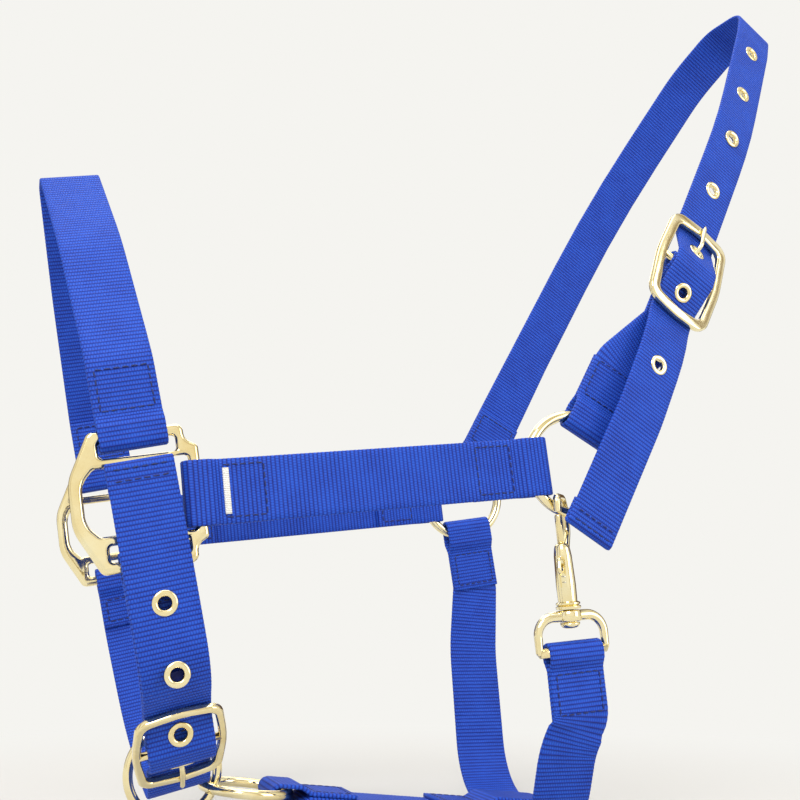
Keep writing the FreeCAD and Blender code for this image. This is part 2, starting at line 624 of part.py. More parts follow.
def place_on_route(plane, route, b):
    """Point on a strap's near leg at plane height b, and the strap's outward normal there."""
    points = [(point - plane.origin, width_dir) for point, width_dir, radius in route[2:]]
    flat = [(offset.dot(plane.first), offset.dot(plane.second)) for offset, width_dir in points]
    for (a0, b0), (a1, b1) in zip(flat, flat[1:]):
        if a0 < 0 and min(b0, b1) <= b < max(b0, b1):
            part = (b - b0) / (b1 - b0)
            along = (plane.first * (a1 - a0) + plane.second * (b1 - b0)).normalize()
            outward = along.cross(plane.normal).normalize()
            return plane.at(a0 + (a1 - a0) * part, b), outward
    raise ValueError("no strap at that height")


def tongue_eyelet_place(place):
    start = place.at(-3.6, OVER)
    end = place.at(-place.end_bar + 5.5, -UNDER)
    along = (end - start).normalize()
    middle = start + along * ((place.tongue_eyelet - 3.6) / (place.end_bar - 9.1) * (end - start).Length)
    return middle, along.cross(place.plane.normal).normalize()


def lower_window_place(place, part):
    """An eyelet seen in the buckle's other window, part of the way down the strap's slope."""
    start = place.at(3.6, OVER)
    end = place.at(place.end_bar - 5.5, -UNDER)
    outward = (end - start).normalize().cross(place.plane.normal).normalize()
    return start + (end - start) * part, outward


def chin_eyelet_places():
    places = [place_on_route(CHIN_PLANE, chin_route(), b) for b in (39.0, 39.0 + CHIN_EYELET_PITCH)]
    places.append(lower_window_place(CHIN_BUCKLE, 0.5))
    return places


def punched_strap(route, places):
    """A strap with a hole under each eyelet."""
    strap = ribbon(route)
    for centre, axis in places:
        strap = strap.cut(eyelet_hole(centre, axis))
    return strap


def seam(plane, bar, towards, neck):
    """One row of thread across a sewn end, standing a little proud of both layers."""
    half = (2 * WEB + PLY_GAP) / 2 + 0.3
    inside = (-towards[1], towards[0])
    corners = []
    for along, out in ((neck, -half), (neck + 0.7, -half), (neck + 0.7, half), (neck, half)):
        a = bar[0] + towards[0] * along + inside[0] * out
        b = bar[1] + towards[1] * along + inside[1] * out
        corners.append(plane.at(a, b) - plane.normal * (WEB_WIDTH / 2 - 2))
    face = Part.Face(Part.makePolygon(corners + corners[:1]))
    return face.extrude(plane.normal * (WEB_WIDTH - 4))


def stitching():
    """Thread rows at the sewn ends that lie in a flat plane."""
    rows = []
    for lateral in (-HALF_WIDTH, HALF_WIDTH):
        square_bar = (lateral, SQUARE_REACH)
        ends = [(NOSE_PLANE, square_bar, ALONG),
                (CHEEK_PLANE, (-SPAN / 2 + SQUARE_SIDE_REACH, lateral), (1, 0)),
                (CHEEK_PLANE, (SPAN / 2 - RING_R, lateral), (-1, 0))]
        for plane, bar, towards in ends:
            rows += [seam(plane, bar, towards, 11.5), seam(plane, bar, towards, 26.0)]
    jaw_bar = (SMALL_RING_R, 0)
    rows += [seam(JAW_PLANE, jaw_bar, (1, 0), 12.0), seam(JAW_PLANE, jaw_bar, (1, 0), 26.0)]
    return Part.makeCompound(rows)


def woven_tab():
    """A blank tab of pale tape beside the near square."""
    out = (WEB + PLY_GAP) / 2 + WEB / 2
    tape = block(0, 2.6, -out - 0.75, -out - 0.1, -8.75, 8.75)
    plane = Plane(on_side(V(0, 0, 0), -HALF_WIDTH), CHEEK_DIR, SIDE)
    tape.translate(V(-SPAN / 2 + SQUARE_SIDE_REACH + 9.2, 0, 0))
    return plane.place(tape)


# ---- writing the pieces ----------------------------------------------------------------------------
def write(name, shape):
    solids = shape.Solids
    shape = solids[0] if len(solids) == 1 else Part.makeCompound(solids)
    shape.exportStep("parts/" + name + ".step")
    print(name, len(solids), "valid" if shape.isValid() else "NOT VALID", round(shape.Volume, 1))


def main():
    os.makedirs("parts", exist_ok=True)
    crown_places = crown_eyelet_places() + [tongue_eyelet_place(CROWN_BUCKLE)]
    chin_places = chin_eyelet_places() + [tongue_eyelet_place(CHIN_BUCKLE)]
    write("noseband", ribbon(noseband_route()))
    write("near_cheek_strap", ribbon(cheek_route(-HALF_WIDTH, (0, 1))))
    write("far_cheek_strap", ribbon(cheek_route(HALF_WIDTH, (0, -1))))
    write("crown_strap", punched_strap(crown_route(), crown_places))
    write("crown_billet", crown_billet())
    write("chin_strap", punched_strap(chin_route(), chin_places))
    write("chin_billet", chin_billet())
    write("throat_strap", ribbon(throat_route()))
    write("jaw_strap", ribbon(jaw_route()))
    write("near_square", square(-HALF_WIDTH))
    write("far_square", square(HALF_WIDTH))
    write("near_ring", wire_ring(NEAR_RING, SIDE, RING_R, RING_WIRE))
    write("far_ring", wire_ring(FAR_RING, SIDE, RING_R, RING_WIRE))
    write("chin_ring", wire_ring(CHIN_RING, SIDE, SMALL_RING_R, SMALL_RING_WIRE))
    write("jaw_ring", wire_ring(JAW_CENTRE, JAW_PLANE.second, SMALL_RING_R, SMALL_RING_WIRE))
    for name, place in (("crown", CROWN_BUCKLE), ("chin", CHIN_BUCKLE)):
        write(name + "_buckle_frame", buckle_frame(place))
        write(name + "_buckle_tongue", buckle_tongue(place))
    write("crown_eyelets", Part.makeCompound([eyelet(*place) for place in crown_places]))
    write("chin_eyelets", Part.makeCompound([eyelet(*place) for place in chin_places]))
    write("snap_body", snap_body())
    write("snap_bolt", snap_bolt())
    write("snap_spring", snap_spring())
    write("snap_rivet", snap_rivet())
    write("snap_yoke", snap_yoke())
    write("stitching", stitching())
    write("woven_tab", woven_tab())


main()
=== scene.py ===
"""Looks of a webbing halter with brass hardware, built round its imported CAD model.

Places below are in millimetres in the model's frame (+Z up, -X towards the nose, -Y the near side)
and become metres when a mesh is made. A place in a working plane is (a, b), a along the plane's
first direction and b along its second; a third number is the radius of a corner there.
"""

import math
import random

import bpy
import bmesh
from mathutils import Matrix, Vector


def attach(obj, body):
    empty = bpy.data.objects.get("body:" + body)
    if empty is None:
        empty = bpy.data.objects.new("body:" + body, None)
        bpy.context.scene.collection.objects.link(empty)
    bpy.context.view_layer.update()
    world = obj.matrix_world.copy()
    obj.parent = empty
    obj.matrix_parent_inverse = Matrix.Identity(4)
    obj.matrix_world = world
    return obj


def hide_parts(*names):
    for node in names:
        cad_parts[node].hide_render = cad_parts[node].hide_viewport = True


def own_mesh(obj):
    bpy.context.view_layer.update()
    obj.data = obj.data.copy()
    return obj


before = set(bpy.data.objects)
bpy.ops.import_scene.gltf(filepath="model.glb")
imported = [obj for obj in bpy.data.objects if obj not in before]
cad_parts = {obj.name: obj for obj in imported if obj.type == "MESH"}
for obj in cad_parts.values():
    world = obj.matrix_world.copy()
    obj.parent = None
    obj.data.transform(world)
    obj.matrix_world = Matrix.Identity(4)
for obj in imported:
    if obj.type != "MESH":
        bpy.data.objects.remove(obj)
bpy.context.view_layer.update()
random.seed(7)

MM = 0.001
SIDE = Vector((0, 1, 0))

# ---- dimensions shared with the CAD model ----
HALF_WIDTH = 60.0  # from the middle of the head to a cheek strap
SPAN = 182.0  # from the squares' centres to the cheek rings' centres
CHEEK_RISE = 7.0  # directions in profile are degrees up from +X
NOSE_LEAN = 103.0
CROWN_LEAN = 61.5
CROWN_SKEW = 14.0  # how much further back the near side of the crown runs
THROAT_TOP_LEAN = 279.0  # the throat strap's way down from the far ring
THROAT_BACK = 89.0
THROAT_SKEW = 13.0  # how much further back its far side runs

WEB_WIDTH = 25.0
WEB = 1.8  # thickness of the webbing
PLY_GAP = 0.1  # between sewn layers
STRAP_GAP = 0.35  # between webbing and the metal it wraps
TAIL = 20.0  # sewn length of a turned-back end
NECK_EASE = 0.8  # room where the two layers come together behind the metal
NECK_BEND = 2.5
SEWN_BEND = 15.0  # bend where a sewn end runs on into its strap
FOLD_EASE = 0.02  # keeps a half-round fold just short of its full radius

RING_R = 21.5  # ring sizes are to the middle of the wire
RING_WIRE = 4.5
SMALL_RING_R = 18.0
SMALL_RING_WIRE = 4.0
RING_PLAY = 0.4  # between two linked rings
JAW_LINK_ANGLE = -25.0  # where the jaw ring hangs in the chin ring
CHIN_RING_RISE = 3.0  # from the chin strap's lowest line to the chin ring's centre

SQUARE_TILT = 10.0
SQUARE_THICK = 3.6
SQUARE_BAR = 4.2
SQUARE_SLOT = 6.0  # opening between a square's outer bar and its body
SQUARE_SLACK = 1.0
SQUARE_REACH = 24.0  # centre to the upper and lower bars
SQUARE_SIDE_REACH = 20.0  # centre to the cheek strap's bar

BUCKLE_BAR = 3.0
BAR_LAP = 3.6  # half the flat run of a strap over a buckle's middle bar
RIM_LAP = 4.0  # how far past a buckle's end bar a strap stays under it
RIM_GAP = 0.6
WINDOW_INSET = 5.5  # where a strap starts to climb inside a buckle's end bar

SLEEVE_SLACK = 2.2  # round the throat strap in the jaw strap's sleeve
CHIN_DEPTH = 110.0
CROWN_TOP = 321.0 - WEB / 2
NOSE_TOP = 150.0 - WEB / 2
THROAT_LOW = 138.0

EYELET_R = 4.7
EYELET_HOLE_R = 2.4
EYELET_RIM = 0.5
EYELET_ROOM = 0.8  # between an eyelet's back and the billet under it
CROWN_EYELET_HEIGHTS = (61.0, 175.0, 213.0, 251.0, 289.0)
CHIN_EYELET_DEPTHS = (39.0, 39.0 + 25.4)
CROWN_WINDOW_EYELET = 0.6  # part of the way down the slope in a buckle's lower window
CHIN_WINDOW_EYELET = 0.5

# ---- dimensions of the looks ----
RIB_PITCH = 1.7
YARN_PITCH = 1.05
RIB_DEPTH = 0.09
SELVEDGE = 0.55  # width of the rounded edge of the webbing
STITCH_LENGTH = 2.5
STITCH_PITCH = 3.3
STITCH_R = 0.34
STITCH_MARGIN = 2.6  # from the webbing's edge to a row of stitches
END_STITCH_MARGIN = 2.4
SHORT_TAIL = 12.0  # a tail shorter than this is sewn closer to its ends
BEND_STEP = 7  # degrees of bend between two points of a path
ROD_STEP = 0.55  # length between two sections of a bent rod
FLOOR_LEVEL = -0.1465  # metres, as are all places of the floor, lights and camera


# ---- planes and strap routes, as in the CAD model ----
def in_profile(angle):
    return Vector((math.cos(math.radians(angle)), 0, math.sin(math.radians(angle))))


class Plane:
    """A flat working plane: points are origin + a * first + b * second."""

    def __init__(self, origin, first, second):
        self.origin = Vector(origin)
        self.first = Vector(first)
        self.second = Vector(second)
        self.normal = self.first.cross(self.second).normalized()

    def at(self, a, b, c=0.0):
        return self.origin + self.first * a + self.second * b + self.normal * c

    def stop(self, a, b, radius=0.0):
        """One point of a strap's route, bent with the given radius."""
        return (self.at(a, b), self.normal, radius)


CHEEK_DIR = in_profile(CHEEK_RISE)
RING_CENTRE = CHEEK_DIR * (SPAN / 2)
SQUARE_CENTRE = CHEEK_DIR * (-SPAN / 2)
NOSE_UP = in_profile(NOSE_LEAN)
CROWN_UP = in_profile(CROWN_LEAN)
CROWN_ACROSS = in_profile(CROWN_LEAN - 90)
NEAR_RING = RING_CENTRE - SIDE * HALF_WIDTH
FAR_RING = RING_CENTRE + SIDE * HALF_WIDTH

NOSE_PLANE = Plane(SQUARE_CENTRE, SIDE, NOSE_UP)
CHIN_PLANE = Plane(SQUARE_CENTRE, SIDE, -NOSE_UP)
CHEEK_PLANE = Plane((0, 0, 0), CHEEK_DIR, SIDE)
RING_CROWN_PLANE = Plane(RING_CENTRE, SIDE, CROWN_UP)
CROWN_LATERAL = (SIDE * (2 * HALF_WIDTH) - CROWN_ACROSS * CROWN_SKEW).normalized()
CROWN_PLANE = Plane(RING_CENTRE + CROWN_ACROSS * (CROWN_SKEW / 2), CROWN_LATERAL, CROWN_UP)
THROAT_TOP_PLANE = Plane(RING_CENTRE, SIDE, in_profile(THROAT_TOP_LEAN))
THROAT_LATERAL = Vector((THROAT_SKEW, 2 * HALF_WIDTH, 0)).normalized()
THROAT_PLANE = Plane((THROAT_BACK, 0, 0), THROAT_LATERAL, (0, 0, -1))

INWARD_NEAR = (1, 0)
INWARD_FAR = (-1, 0)
ALONG = (0, 1)


def bend(before, corner, after, radius):
    """Points round one corner of a route."""
    to_before = (before - corner).normalized()
    to_after = (after - corner).normalized()
    turn = math.pi - to_before.angle(to_after)
    if turn < 0.01 or radius <= 0:
        return [corner]
    start = corner + to_before * (radius * math.tan(turn / 2))
    centre = corner + (to_before + to_after).normalized() * (radius / math.cos(turn / 2))
    spoke = (start - centre).normalized()
    heading = -to_before
    steps = max(3, math.ceil(math.degrees(turn) / BEND_STEP))
    points = []
    for step in range(steps + 1):
        angle = turn * step / steps
        points.append(centre + (spoke * math.cos(angle) + heading * math.sin(angle)) * radius)
    return points


def walk(route):
    """A route's corners rounded: a dense list of (point, width direction)."""
    path = [(route[0][0], route[0][1])]
    for before, here, after in zip(route, route[1:], route[2:]):
        for point in bend(before[0], here[0], after[0], here[2]):
            path.append((point, here[1]))
    path.append((route[-1][0], route[-1][1]))
    return path


def resample(path, spacing):
    """Evenly spaced (point, tangent, width direction, distance) along a path."""
    lengths = [0.0]
    for (first, _), (second, _) in zip(path, path[1:]):
        lengths.append(lengths[-1] + (second - first).length)
    count = max(2, round(lengths[-1] / spacing))
    places = []
    index = 0
    for step in range(count + 1):
        distance = lengths[-1] * step / count
        while index < len(path) - 2 and lengths[index + 1] < distance:
            index += 1
        run = lengths[index + 1] - lengths[index]
        part = (distance - lengths[index]) / run if run > 1e-9 else 0.0
        point = path[index][0].lerp(path[index + 1][0], part)
        width_dir = path[index][1].lerp(path[index + 1][1], part)
        places.append((point, width_dir, distance))
    stations = []
    for index, (point, width_dir, distance) in enumerate(places):
        before = places[max(0, index - 1)][0]
        after = places[min(count, index + 1)][0]
        tangent = (after - before).normalized()
        across = (width_dir - tangent * width_dir.dot(tangent)).normalized()
        stations.append((point, tangent, across, distance))
    return stations


def eye(plane, bar, towards, inside, half_gap, front, back, tail=TAIL, sewn_bend=SEWN_BEND):
    """Route of a strap end turned round a bar, from its tip to the start of the strap."""
    ply = (WEB + PLY_GAP) / 2
    side = half_gap + WEB / 2
    drop = back + WEB / 2
    throat = front + NECK_EASE
    neck = throat + side + NECK_EASE
    fold = side - FOLD_EASE
    steps = [(ply, tail + neck, 0), (ply, neck, NECK_BEND), (side, throat, NECK_BEND), (side, -drop, fold),
             (-side, -drop, fold), (-side, throat, NECK_BEND), (-ply, neck, NECK_BEND)]
    if sewn_bend:
        steps.append((-ply, neck + tail, sewn_bend))
    route = []
    for sideways, along, radius in steps:
        a = bar[0] + towards[0] * along + inside[0] * sideways
        b = bar[1] + towards[1] * along + inside[1] * sideways
        route.append(plane.stop(a, b, radius))
    box_stitch(plane, bar, towards, inside, neck, tail)
    return route


def ring_eye(plane, centre, towards, inside, radius, wire, tail=TAIL):
    """A strap end round a ring; the wire curves away behind the webbing, which needs room at the back."""
    bar = (centre[0] + towards[0] * radius, centre[1] + towards[1] * radius)
    back = radius - math.sqrt((radius - wire / 2) ** 2 - (WEB_WIDTH / 2) ** 2) + STRAP_GAP
    gap = wire / 2 + STRAP_GAP
    return eye(plane, bar, towards, inside, gap, gap, back, tail)


def square_eye(plane, bar, towards, inside, tail=TAIL):
    """A strap end round one of a square's bars."""
    return eye(plane, bar, towards, inside, SQUARE_THICK / 2 + STRAP_GAP,
               SQUARE_BAR / 2 + SQUARE_SLACK, SQUARE_BAR / 2 + 2 * SQUARE_SLACK, tail)


# ---- stitches ----
stitch_places = []


def stitch_row(start, end, out):
    """Places of stitches from start to end, lying on a face whose outward direction is out."""
    length = (end - start).length
    heading = (end - start).normalized()
    count = max(1, round(length / STITCH_PITCH))
    for step in range(count):
        middle = start + heading * (length * (step + 0.5) / count)
        stitch_places.append((middle, heading, out))


def box_stitch(plane, bar, towards, inside, neck, tail):
    """A stitched rectangle on both faces of a sewn end."""
    face = WEB + PLY_GAP / 2
    edge = WEB_WIDTH / 2 - STITCH_MARGIN
    from_neck, from_tip = (1.2, 1.6) if tail < SHORT_TAIL else (1.8, 2.4)
    low, high = neck + from_neck, neck + tail - from_tip
    for sign in (-1, 1):
        out = (plane.first * inside[0] + plane.second * inside[1]) * sign

        def on_face(along, across):
            a = bar[0] + towards[0] * along + inside[0] * face * sign
            b = bar[1] + towards[1] * along + inside[1] * face * sign
            return plane.at(a, b, across)

        stitch_row(on_face(low, -edge), on_face(low, edge), out)
        stitch_row(on_face(high, -edge), on_face(high, edge), out)
        stitch_row(on_face(low, -edge), on_face(high, -edge), out)
        stitch_row(on_face(low, edge), on_face(high, edge), out)


# ---- buckle places ----
# Heights of a strap's middle out from the buckle's middle: under its ends, over its bar, and a billet below.
UNDER = BUCKLE_BAR / 2 + RIM_GAP + WEB / 2
OVER = BUCKLE_BAR / 2 + 2 * STRAP_GAP + WEB * 1.5
BILLET_UNDER = UNDER + WEB + STRAP_GAP


def unit(a, b):
    length = math.hypot(a, b)
    return (a / length, b / length)


class BucklePlace:
    """A buckle's bar centre in a strap's plane, the way to the strap's free end, and its size.

    size is (length, width, rim). tongue_rise is the tongue's way up through the eyelet that holds it,
    which lies tongue_eyelet from the bar.
    """

    def __init__(self, plane, bar, to_tail, size, tongue_rise, tongue_eyelet):
        self.length, self.width, self.rim = size
        self.end_bar = (self.length - self.rim) / 2
        self.tongue_rise = tongue_rise
        self.tongue_eyelet = tongue_eyelet
        self.plane = plane
        self.bar = bar
        self.to_tail = to_tail
        self.outward = (to_tail[1], -to_tail[0])
        tail_dir = plane.first * to_tail[0] + plane.second * to_tail[1]
        out_dir = plane.first * self.outward[0] + plane.second * self.outward[1]
        self.frame_plane = Plane(plane.at(*bar), tail_dir.cross(out_dir), tail_dir)

    def stop(self, along, out, radius=0.0):
        a = self.bar[0] + self.to_tail[0] * along + self.outward[0] * out
        b = self.bar[1] + self.to_tail[1] * along + self.outward[1] * out
        return self.plane.stop(a, b, radius)


CROWN_BUCKLE = BucklePlace(CROWN_PLANE, (-58.0, 118.5), unit(-10, -57), (58.0, 39.0, 5.0),
                           [(-7.5, -2.6, 3), (-15.5, 4.0, 4)], 12.0)
CHIN_BUCKLE = BucklePlace(CHIN_PLANE, (-37.5, 92.5), unit(-0.74, -0.67), (43.0, 34.0, 3.0),
                          [(-5.6, -0.2, 3), (-12.2, 3.6, 4)], 8.6)


def through_buckle(place):
    """The strap's way through: under one end, over the middle bar, under the other end."""
    rim = place.end_bar + RIM_LAP
    climb = place.end_bar - WINDOW_INSET
    return [place.stop(-rim, -UNDER, 6), place.stop(-climb, -UNDER, 2.5),
            place.stop(-BAR_LAP, OVER, 3), place.stop(BAR_LAP, OVER, 3),
            place.stop(climb, -UNDER, 2.5), place.stop(rim, -UNDER, 6)]


# ---- routes ----
def noseband_route():
    near = square_eye(NOSE_PLANE, (-HALF_WIDTH, SQUARE_REACH), ALONG, INWARD_NEAR)
    far = square_eye(NOSE_PLANE, (HALF_WIDTH, SQUARE_REACH), ALONG, INWARD_FAR)
    arch = [(-57, 62, 40), (-37, 108, 90), (-6, NOSE_TOP, 5.2),
            (6, NOSE_TOP, 5.2), (37, 108, 90), (57, 62, 40)]
    return near + [NOSE_PLANE.stop(*step) for step in arch] + far[::-1]


def cheek_route(lateral, inside):
    start = square_eye(CHEEK_PLANE, (-SPAN / 2 + SQUARE_SIDE_REACH, lateral), (1, 0), inside)
    end = ring_eye(CHEEK_PLANE, (SPAN / 2, lateral), (-1, 0), inside, RING_R, RING_WIRE)
    bow = 1.2
    middle = CHEEK_PLANE.stop(0, lateral - inside[1] * bow, 400)
    return start + [middle] + end[::-1]


def turned_end(plane, lateral, end, length, inside):
    """A free end folded back under itself and sewn: route from the hidden tip outwards."""
    under = lateral + inside * (WEB + PLY_GAP)
    fold = (WEB + PLY_GAP) / 2 - FOLD_EASE
    outer = lateral - inside * WEB / 2
    edge = WEB_WIDTH / 2 - END_STITCH_MARGIN
    out = plane.first * -inside
    for seam in (end + length - 4.5, end + 2.2):
        stitch_row(plane.at(outer, seam, -edge), plane.at(outer, seam, edge), out)
    return [plane.stop(under, end + length), plane.stop(under, end, fold), plane.stop(lateral, end, fold)]


def crown_route():
    tail = turned_end(CROWN_PLANE, -70.6, -27.0, 11, 1)
    near = [CROWN_PLANE.stop(-69.6, 35, 120), CROWN_PLANE.stop(-65.0, 75, 120)]
    arch = [(-43, 218, 300), (-22, 298, 60), (-14, CROWN_TOP, 13.5),
            (14, CROWN_TOP, 13.5), (32, 296, 60), (58, 200, 400), (61, 95, 300)]
    over = [CROWN_PLANE.stop(*step) for step in arch]
    far = ring_eye(RING_CROWN_PLANE, (HALF_WIDTH, 0), ALONG, INWARD_FAR, RING_R, RING_WIRE)
    return tail + near + through_buckle(CROWN_BUCKLE)[::-1] + over + far[::-1]


def chin_route():
    tail = turned_end(CHIN_PLANE, -66.3, -13.0, 11, 1)
    near = [CHIN_PLANE.stop(-66.3, 32, 60), CHIN_PLANE.stop(-64.6, 66, 26)]
    bottom = [CHIN_PLANE.stop(-9, CHIN_DEPTH + 4.2, 15), CHIN_PLANE.stop(18, CHIN_DEPTH - 3, 40),
              CHIN_PLANE.stop(46, 86, 34), CHIN_PLANE.stop(58.5, 56, 60)]
    far = square_eye(CHIN_PLANE, (HALF_WIDTH, SQUARE_REACH), ALONG, INWARD_FAR, 14)
    return tail + near + through_buckle(CHIN_BUCKLE)[::-1] + bottom + far[::-1]


def billet_buckle_eye(place, tail=8.5):
    """The billet's end round a buckle's bar, sewn along its way down to the end bar."""
    dip = unit(place.end_bar - WINDOW_INSET, -BILLET_UNDER - WEB / 2)
    towards = (place.to_tail[0] * dip[0] + place.outward[0] * dip[1],
               place.to_tail[1] * dip[0] + place.outward[1] * dip[1])
    inside = (-towards[1], towards[0])
    if inside[0] * place.outward[0] + inside[1] * place.outward[1] > 0:
        inside = (towards[1], -towards[0])
    gap = BUCKLE_BAR / 2 + STRAP_GAP
    return eye(place.plane, place.bar, towards, inside, gap, gap, gap, tail, 0)


def billet_dip(place):
    """The billet's way in under a buckle's end, clear of the eyelets in the strap over it."""
    below = -BILLET_UNDER - EYELET_RIM - EYELET_ROOM
    end = place.end_bar
    return [place.stop(end + 2 * RIM_LAP, below, 12), place.stop(end - WINDOW_INSET, -BILLET_UNDER, 4)]


def crown_billet_route():
    ring = ring_eye(RING_CROWN_PLANE, (-HALF_WIDTH, 0), ALONG, INWARD_NEAR, RING_R, RING_WIRE, 22)
    return ring + billet_dip(CROWN_BUCKLE) + billet_buckle_eye(CROWN_BUCKLE)[::-1]


def chin_billet_route():
    square = square_eye(CHIN_PLANE, (-HALF_WIDTH, SQUARE_REACH), ALONG, INWARD_NEAR, 8)
    middle = [CHIN_PLANE.stop(-58.6, 60, 16)]
    return square + middle + billet_dip(CHIN_BUCKLE) + billet_buckle_eye(CHIN_BUCKLE)[::-1]


# ---- places of the hanging hardware ----
CHIN_RING = CHIN_PLANE.at(0, CHIN_DEPTH - CHIN_RING_RISE)
THROAT_CROSSING = THROAT_PLANE.at(0, THROAT_LOW)
JAW_LINK = CHIN_RING + in_profile(JAW_LINK_ANGLE) * (SMALL_RING_R - SMALL_RING_WIRE - RING_PLAY)
JAW_DIR = (THROAT_CROSSING - JAW_LINK).normalized()
JAW_CENTRE = JAW_LINK + JAW_DIR * SMALL_RING_R
JAW_PLANE = Plane(JAW_CENTRE, JAW_DIR, -SIDE.cross(JAW_DIR))

SNAP_LEAN = 95.0
SNAP_TURN = math.radians(48)  # the hook's plane, turned in from the profile
SNAP_ON_RING = 252.0  # where the hook holds the near cheek ring
HOOK_REACH = 7.1  # from the snap's axis to the ring's wire
SNAP_UP = in_profile(SNAP_LEAN)
SNAP_LEVEL = in_profile(SNAP_LEAN - 90)
SNAP_ACROSS = SNAP_LEVEL * math.cos(SNAP_TURN) + SIDE * math.sin(SNAP_TURN)
SNAP_ORIGIN = NEAR_RING + in_profile(SNAP_ON_RING) * RING_R - SNAP_ACROSS * HOOK_REACH
HOOK_PLANE = Plane(SNAP_ORIGIN, SNAP_ACROSS, SNAP_UP)
YOKE_DRAW = Plane(SNAP_ORIGIN, SNAP_LEVEL, SNAP_UP)

# Heights on the snap are along its axis from the middle of the ring's wire.
YOKE_DROP = 57.5
YOKE_WIRE = 4.6
YOKE_BAR_R = 1.9
YOKE_PLANE = Plane(SNAP_ORIGIN - SNAP_UP * YOKE_DROP, SIDE, -SNAP_UP)
BARREL_R = 4.1
BARREL_TOP = -14.0
BARREL_FOOT = -38.0
COLLAR = 3.0
SWIVEL_GAP = 0.3
SWIVEL_TOP = BARREL_FOOT - COLLAR
THUMB_HEIGHT = -21.0
BOLT_TRAVEL = 8.0
PLUNGER_FOOT = -26.0
SPRING_SEAT = -36.0
SPRING_ROOM = PLUNGER_FOOT - SPRING_SEAT
BORE_R = 3.05
HOOK_TIP = -1.4
HOOK_TOP = 7.2


def throat_route():
    far = ring_eye(THROAT_TOP_PLANE, (HALF_WIDTH, 0), ALONG, INWARD_FAR, RING_R, RING_WIRE)
    gap = YOKE_BAR_R + STRAP_GAP
    near = eye(YOKE_PLANE, (0, 0), ALONG, INWARD_NEAR, gap, gap, gap)
    bottom = [(-61.5, 106, 40), (-47, THROAT_LOW, 26), (45, THROAT_LOW, 30), (59.5, 70, 90)]
    return near + [THROAT_PLANE.stop(*step) for step in bottom] + far[::-1]


def jaw_route():
    ring = ring_eye(JAW_PLANE, (0, 0), (1, 0), (0, 1), SMALL_RING_R, SMALL_RING_WIRE)
    half = WEB_WIDTH / 2 + STRAP_GAP + SLEEVE_SLACK
    reach = (THROAT_CROSSING - JAW_CENTRE).length
    gap = WEB / 2 + STRAP_GAP + SLEEVE_SLACK
    return ring + eye(JAW_PLANE, (reach, 0), (-1, 0), (0, 1), gap, half, half)[::-1]


# ---- eyelet places ----
def place_on_route(plane, route, b):
    """Point on a strap's near leg at plane height b, and the strap's outward normal there."""
    flat = []
    for point, _, _ in route[2:]:
        offset = point - plane.origin
        flat.append((offset.dot(plane.first), offset.dot(plane.second)))
    for (a0, b0), (a1, b1) in zip(flat, flat[1:]):
        if a0 < 0 and min(b0, b1) <= b < max(b0, b1):
            along = (plane.first * (a1 - a0) + plane.second * (b1 - b0)).normalized()
            return plane.at(a0 + (a1 - a0) * (b - b0) / (b1 - b0), b), along.cross(plane.normal).normalized()
    raise ValueError("no strap at that height")


def slope_place(place, heading, part):
    """A place part of the way down the strap's slope from a buckle's bar, and its outward normal.

    heading is 1 on the side of the strap's free end and -1 on the tongue's side.
    """
    start = place.stop(heading * BAR_LAP, OVER)[0]
    end = place.stop(heading * (place.end_bar - WINDOW_INSET), -UNDER)[0]
    return start.lerp(end, part), (end - start).cross(place.plane.normal).normalized()


def eyelet_places(plane, route, heights, place, window_part):
    """Eyelets along the strap, one in the buckle's lower window and the one that holds the tongue."""
    places = [place_on_route(plane, route, height) for height in heights]
    tongue_part = (place.tongue_eyelet - BAR_LAP) / (place.end_bar - WINDOW_INSET - BAR_LAP)
    return places + [slope_place(place, 1, window_part), slope_place(place, -1, tongue_part)]


# ---- materials ----
class Tree:
    """Short names for building a tree of nodes."""

    def __init__(self, tree):
        self.tree = tree

    def put(self, socket, value):
        """Gives a socket a plain value or another node's output."""
        if isinstance(value, bpy.types.NodeSocket):
            self.tree.links.new(value, socket)
        else:
            socket.default_value = value

    def add(self, kind, inputs=None, **settings):
        node = self.tree.nodes.new(kind)
        for key, value in settings.items():
            setattr(node, key, value)
        for key, value in (inputs or {}).items():
            self.put(node.inputs[key], value)
        return node

    def place(self, space):
        return self.add("ShaderNodeTexCoord").outputs[space]

    def math(self, operation, *values):
        return self.add("ShaderNodeMath", dict(enumerate(values)), operation=operation).outputs[0]

    def noise(self, scale, detail=3.0, roughness=0.5):
        """Noise in the piece's own space, scale in waves per metre."""
        inputs = {"Scale": scale, "Detail": detail, "Roughness": roughness, "Vector": self.place("Object")}
        return self.add("ShaderNodeTexNoise", inputs).outputs["Fac"]

    def ramp(self, factor, stops):
        """A colour ramp with (position, colour) stops."""
        node = self.add("ShaderNodeValToRGB", {"Fac": factor})
        elements = node.color_ramp.elements
        while len(elements) < len(stops):
            elements.new(0.5)
        for element, (position, colour) in zip(elements, stops):
            element.position = position
            element.color = (*colour, 1.0)
        return node.outputs["Color"]

    def bump(self, height, strength, distance, normal=None):
        """Relief of a height, distance in metres, over another relief if one is given."""
        inputs = {"Height": height, "Strength": strength, "Distance": distance}
        if normal is not None:
            inputs["Normal"] = normal
        return self.add("ShaderNodeBump", inputs).outputs["Normal"]


class Shader(Tree):
    """A new material and its shader."""

    def __init__(self, name):
        self.material = bpy.data.materials.new(name)
        self.material.use_nodes = True
        super().__init__(self.material.node_tree)
        self.shader = self.tree.nodes["Principled BSDF"]

    def set(self, name, value):
        self.put(self.shader.inputs[name], value)


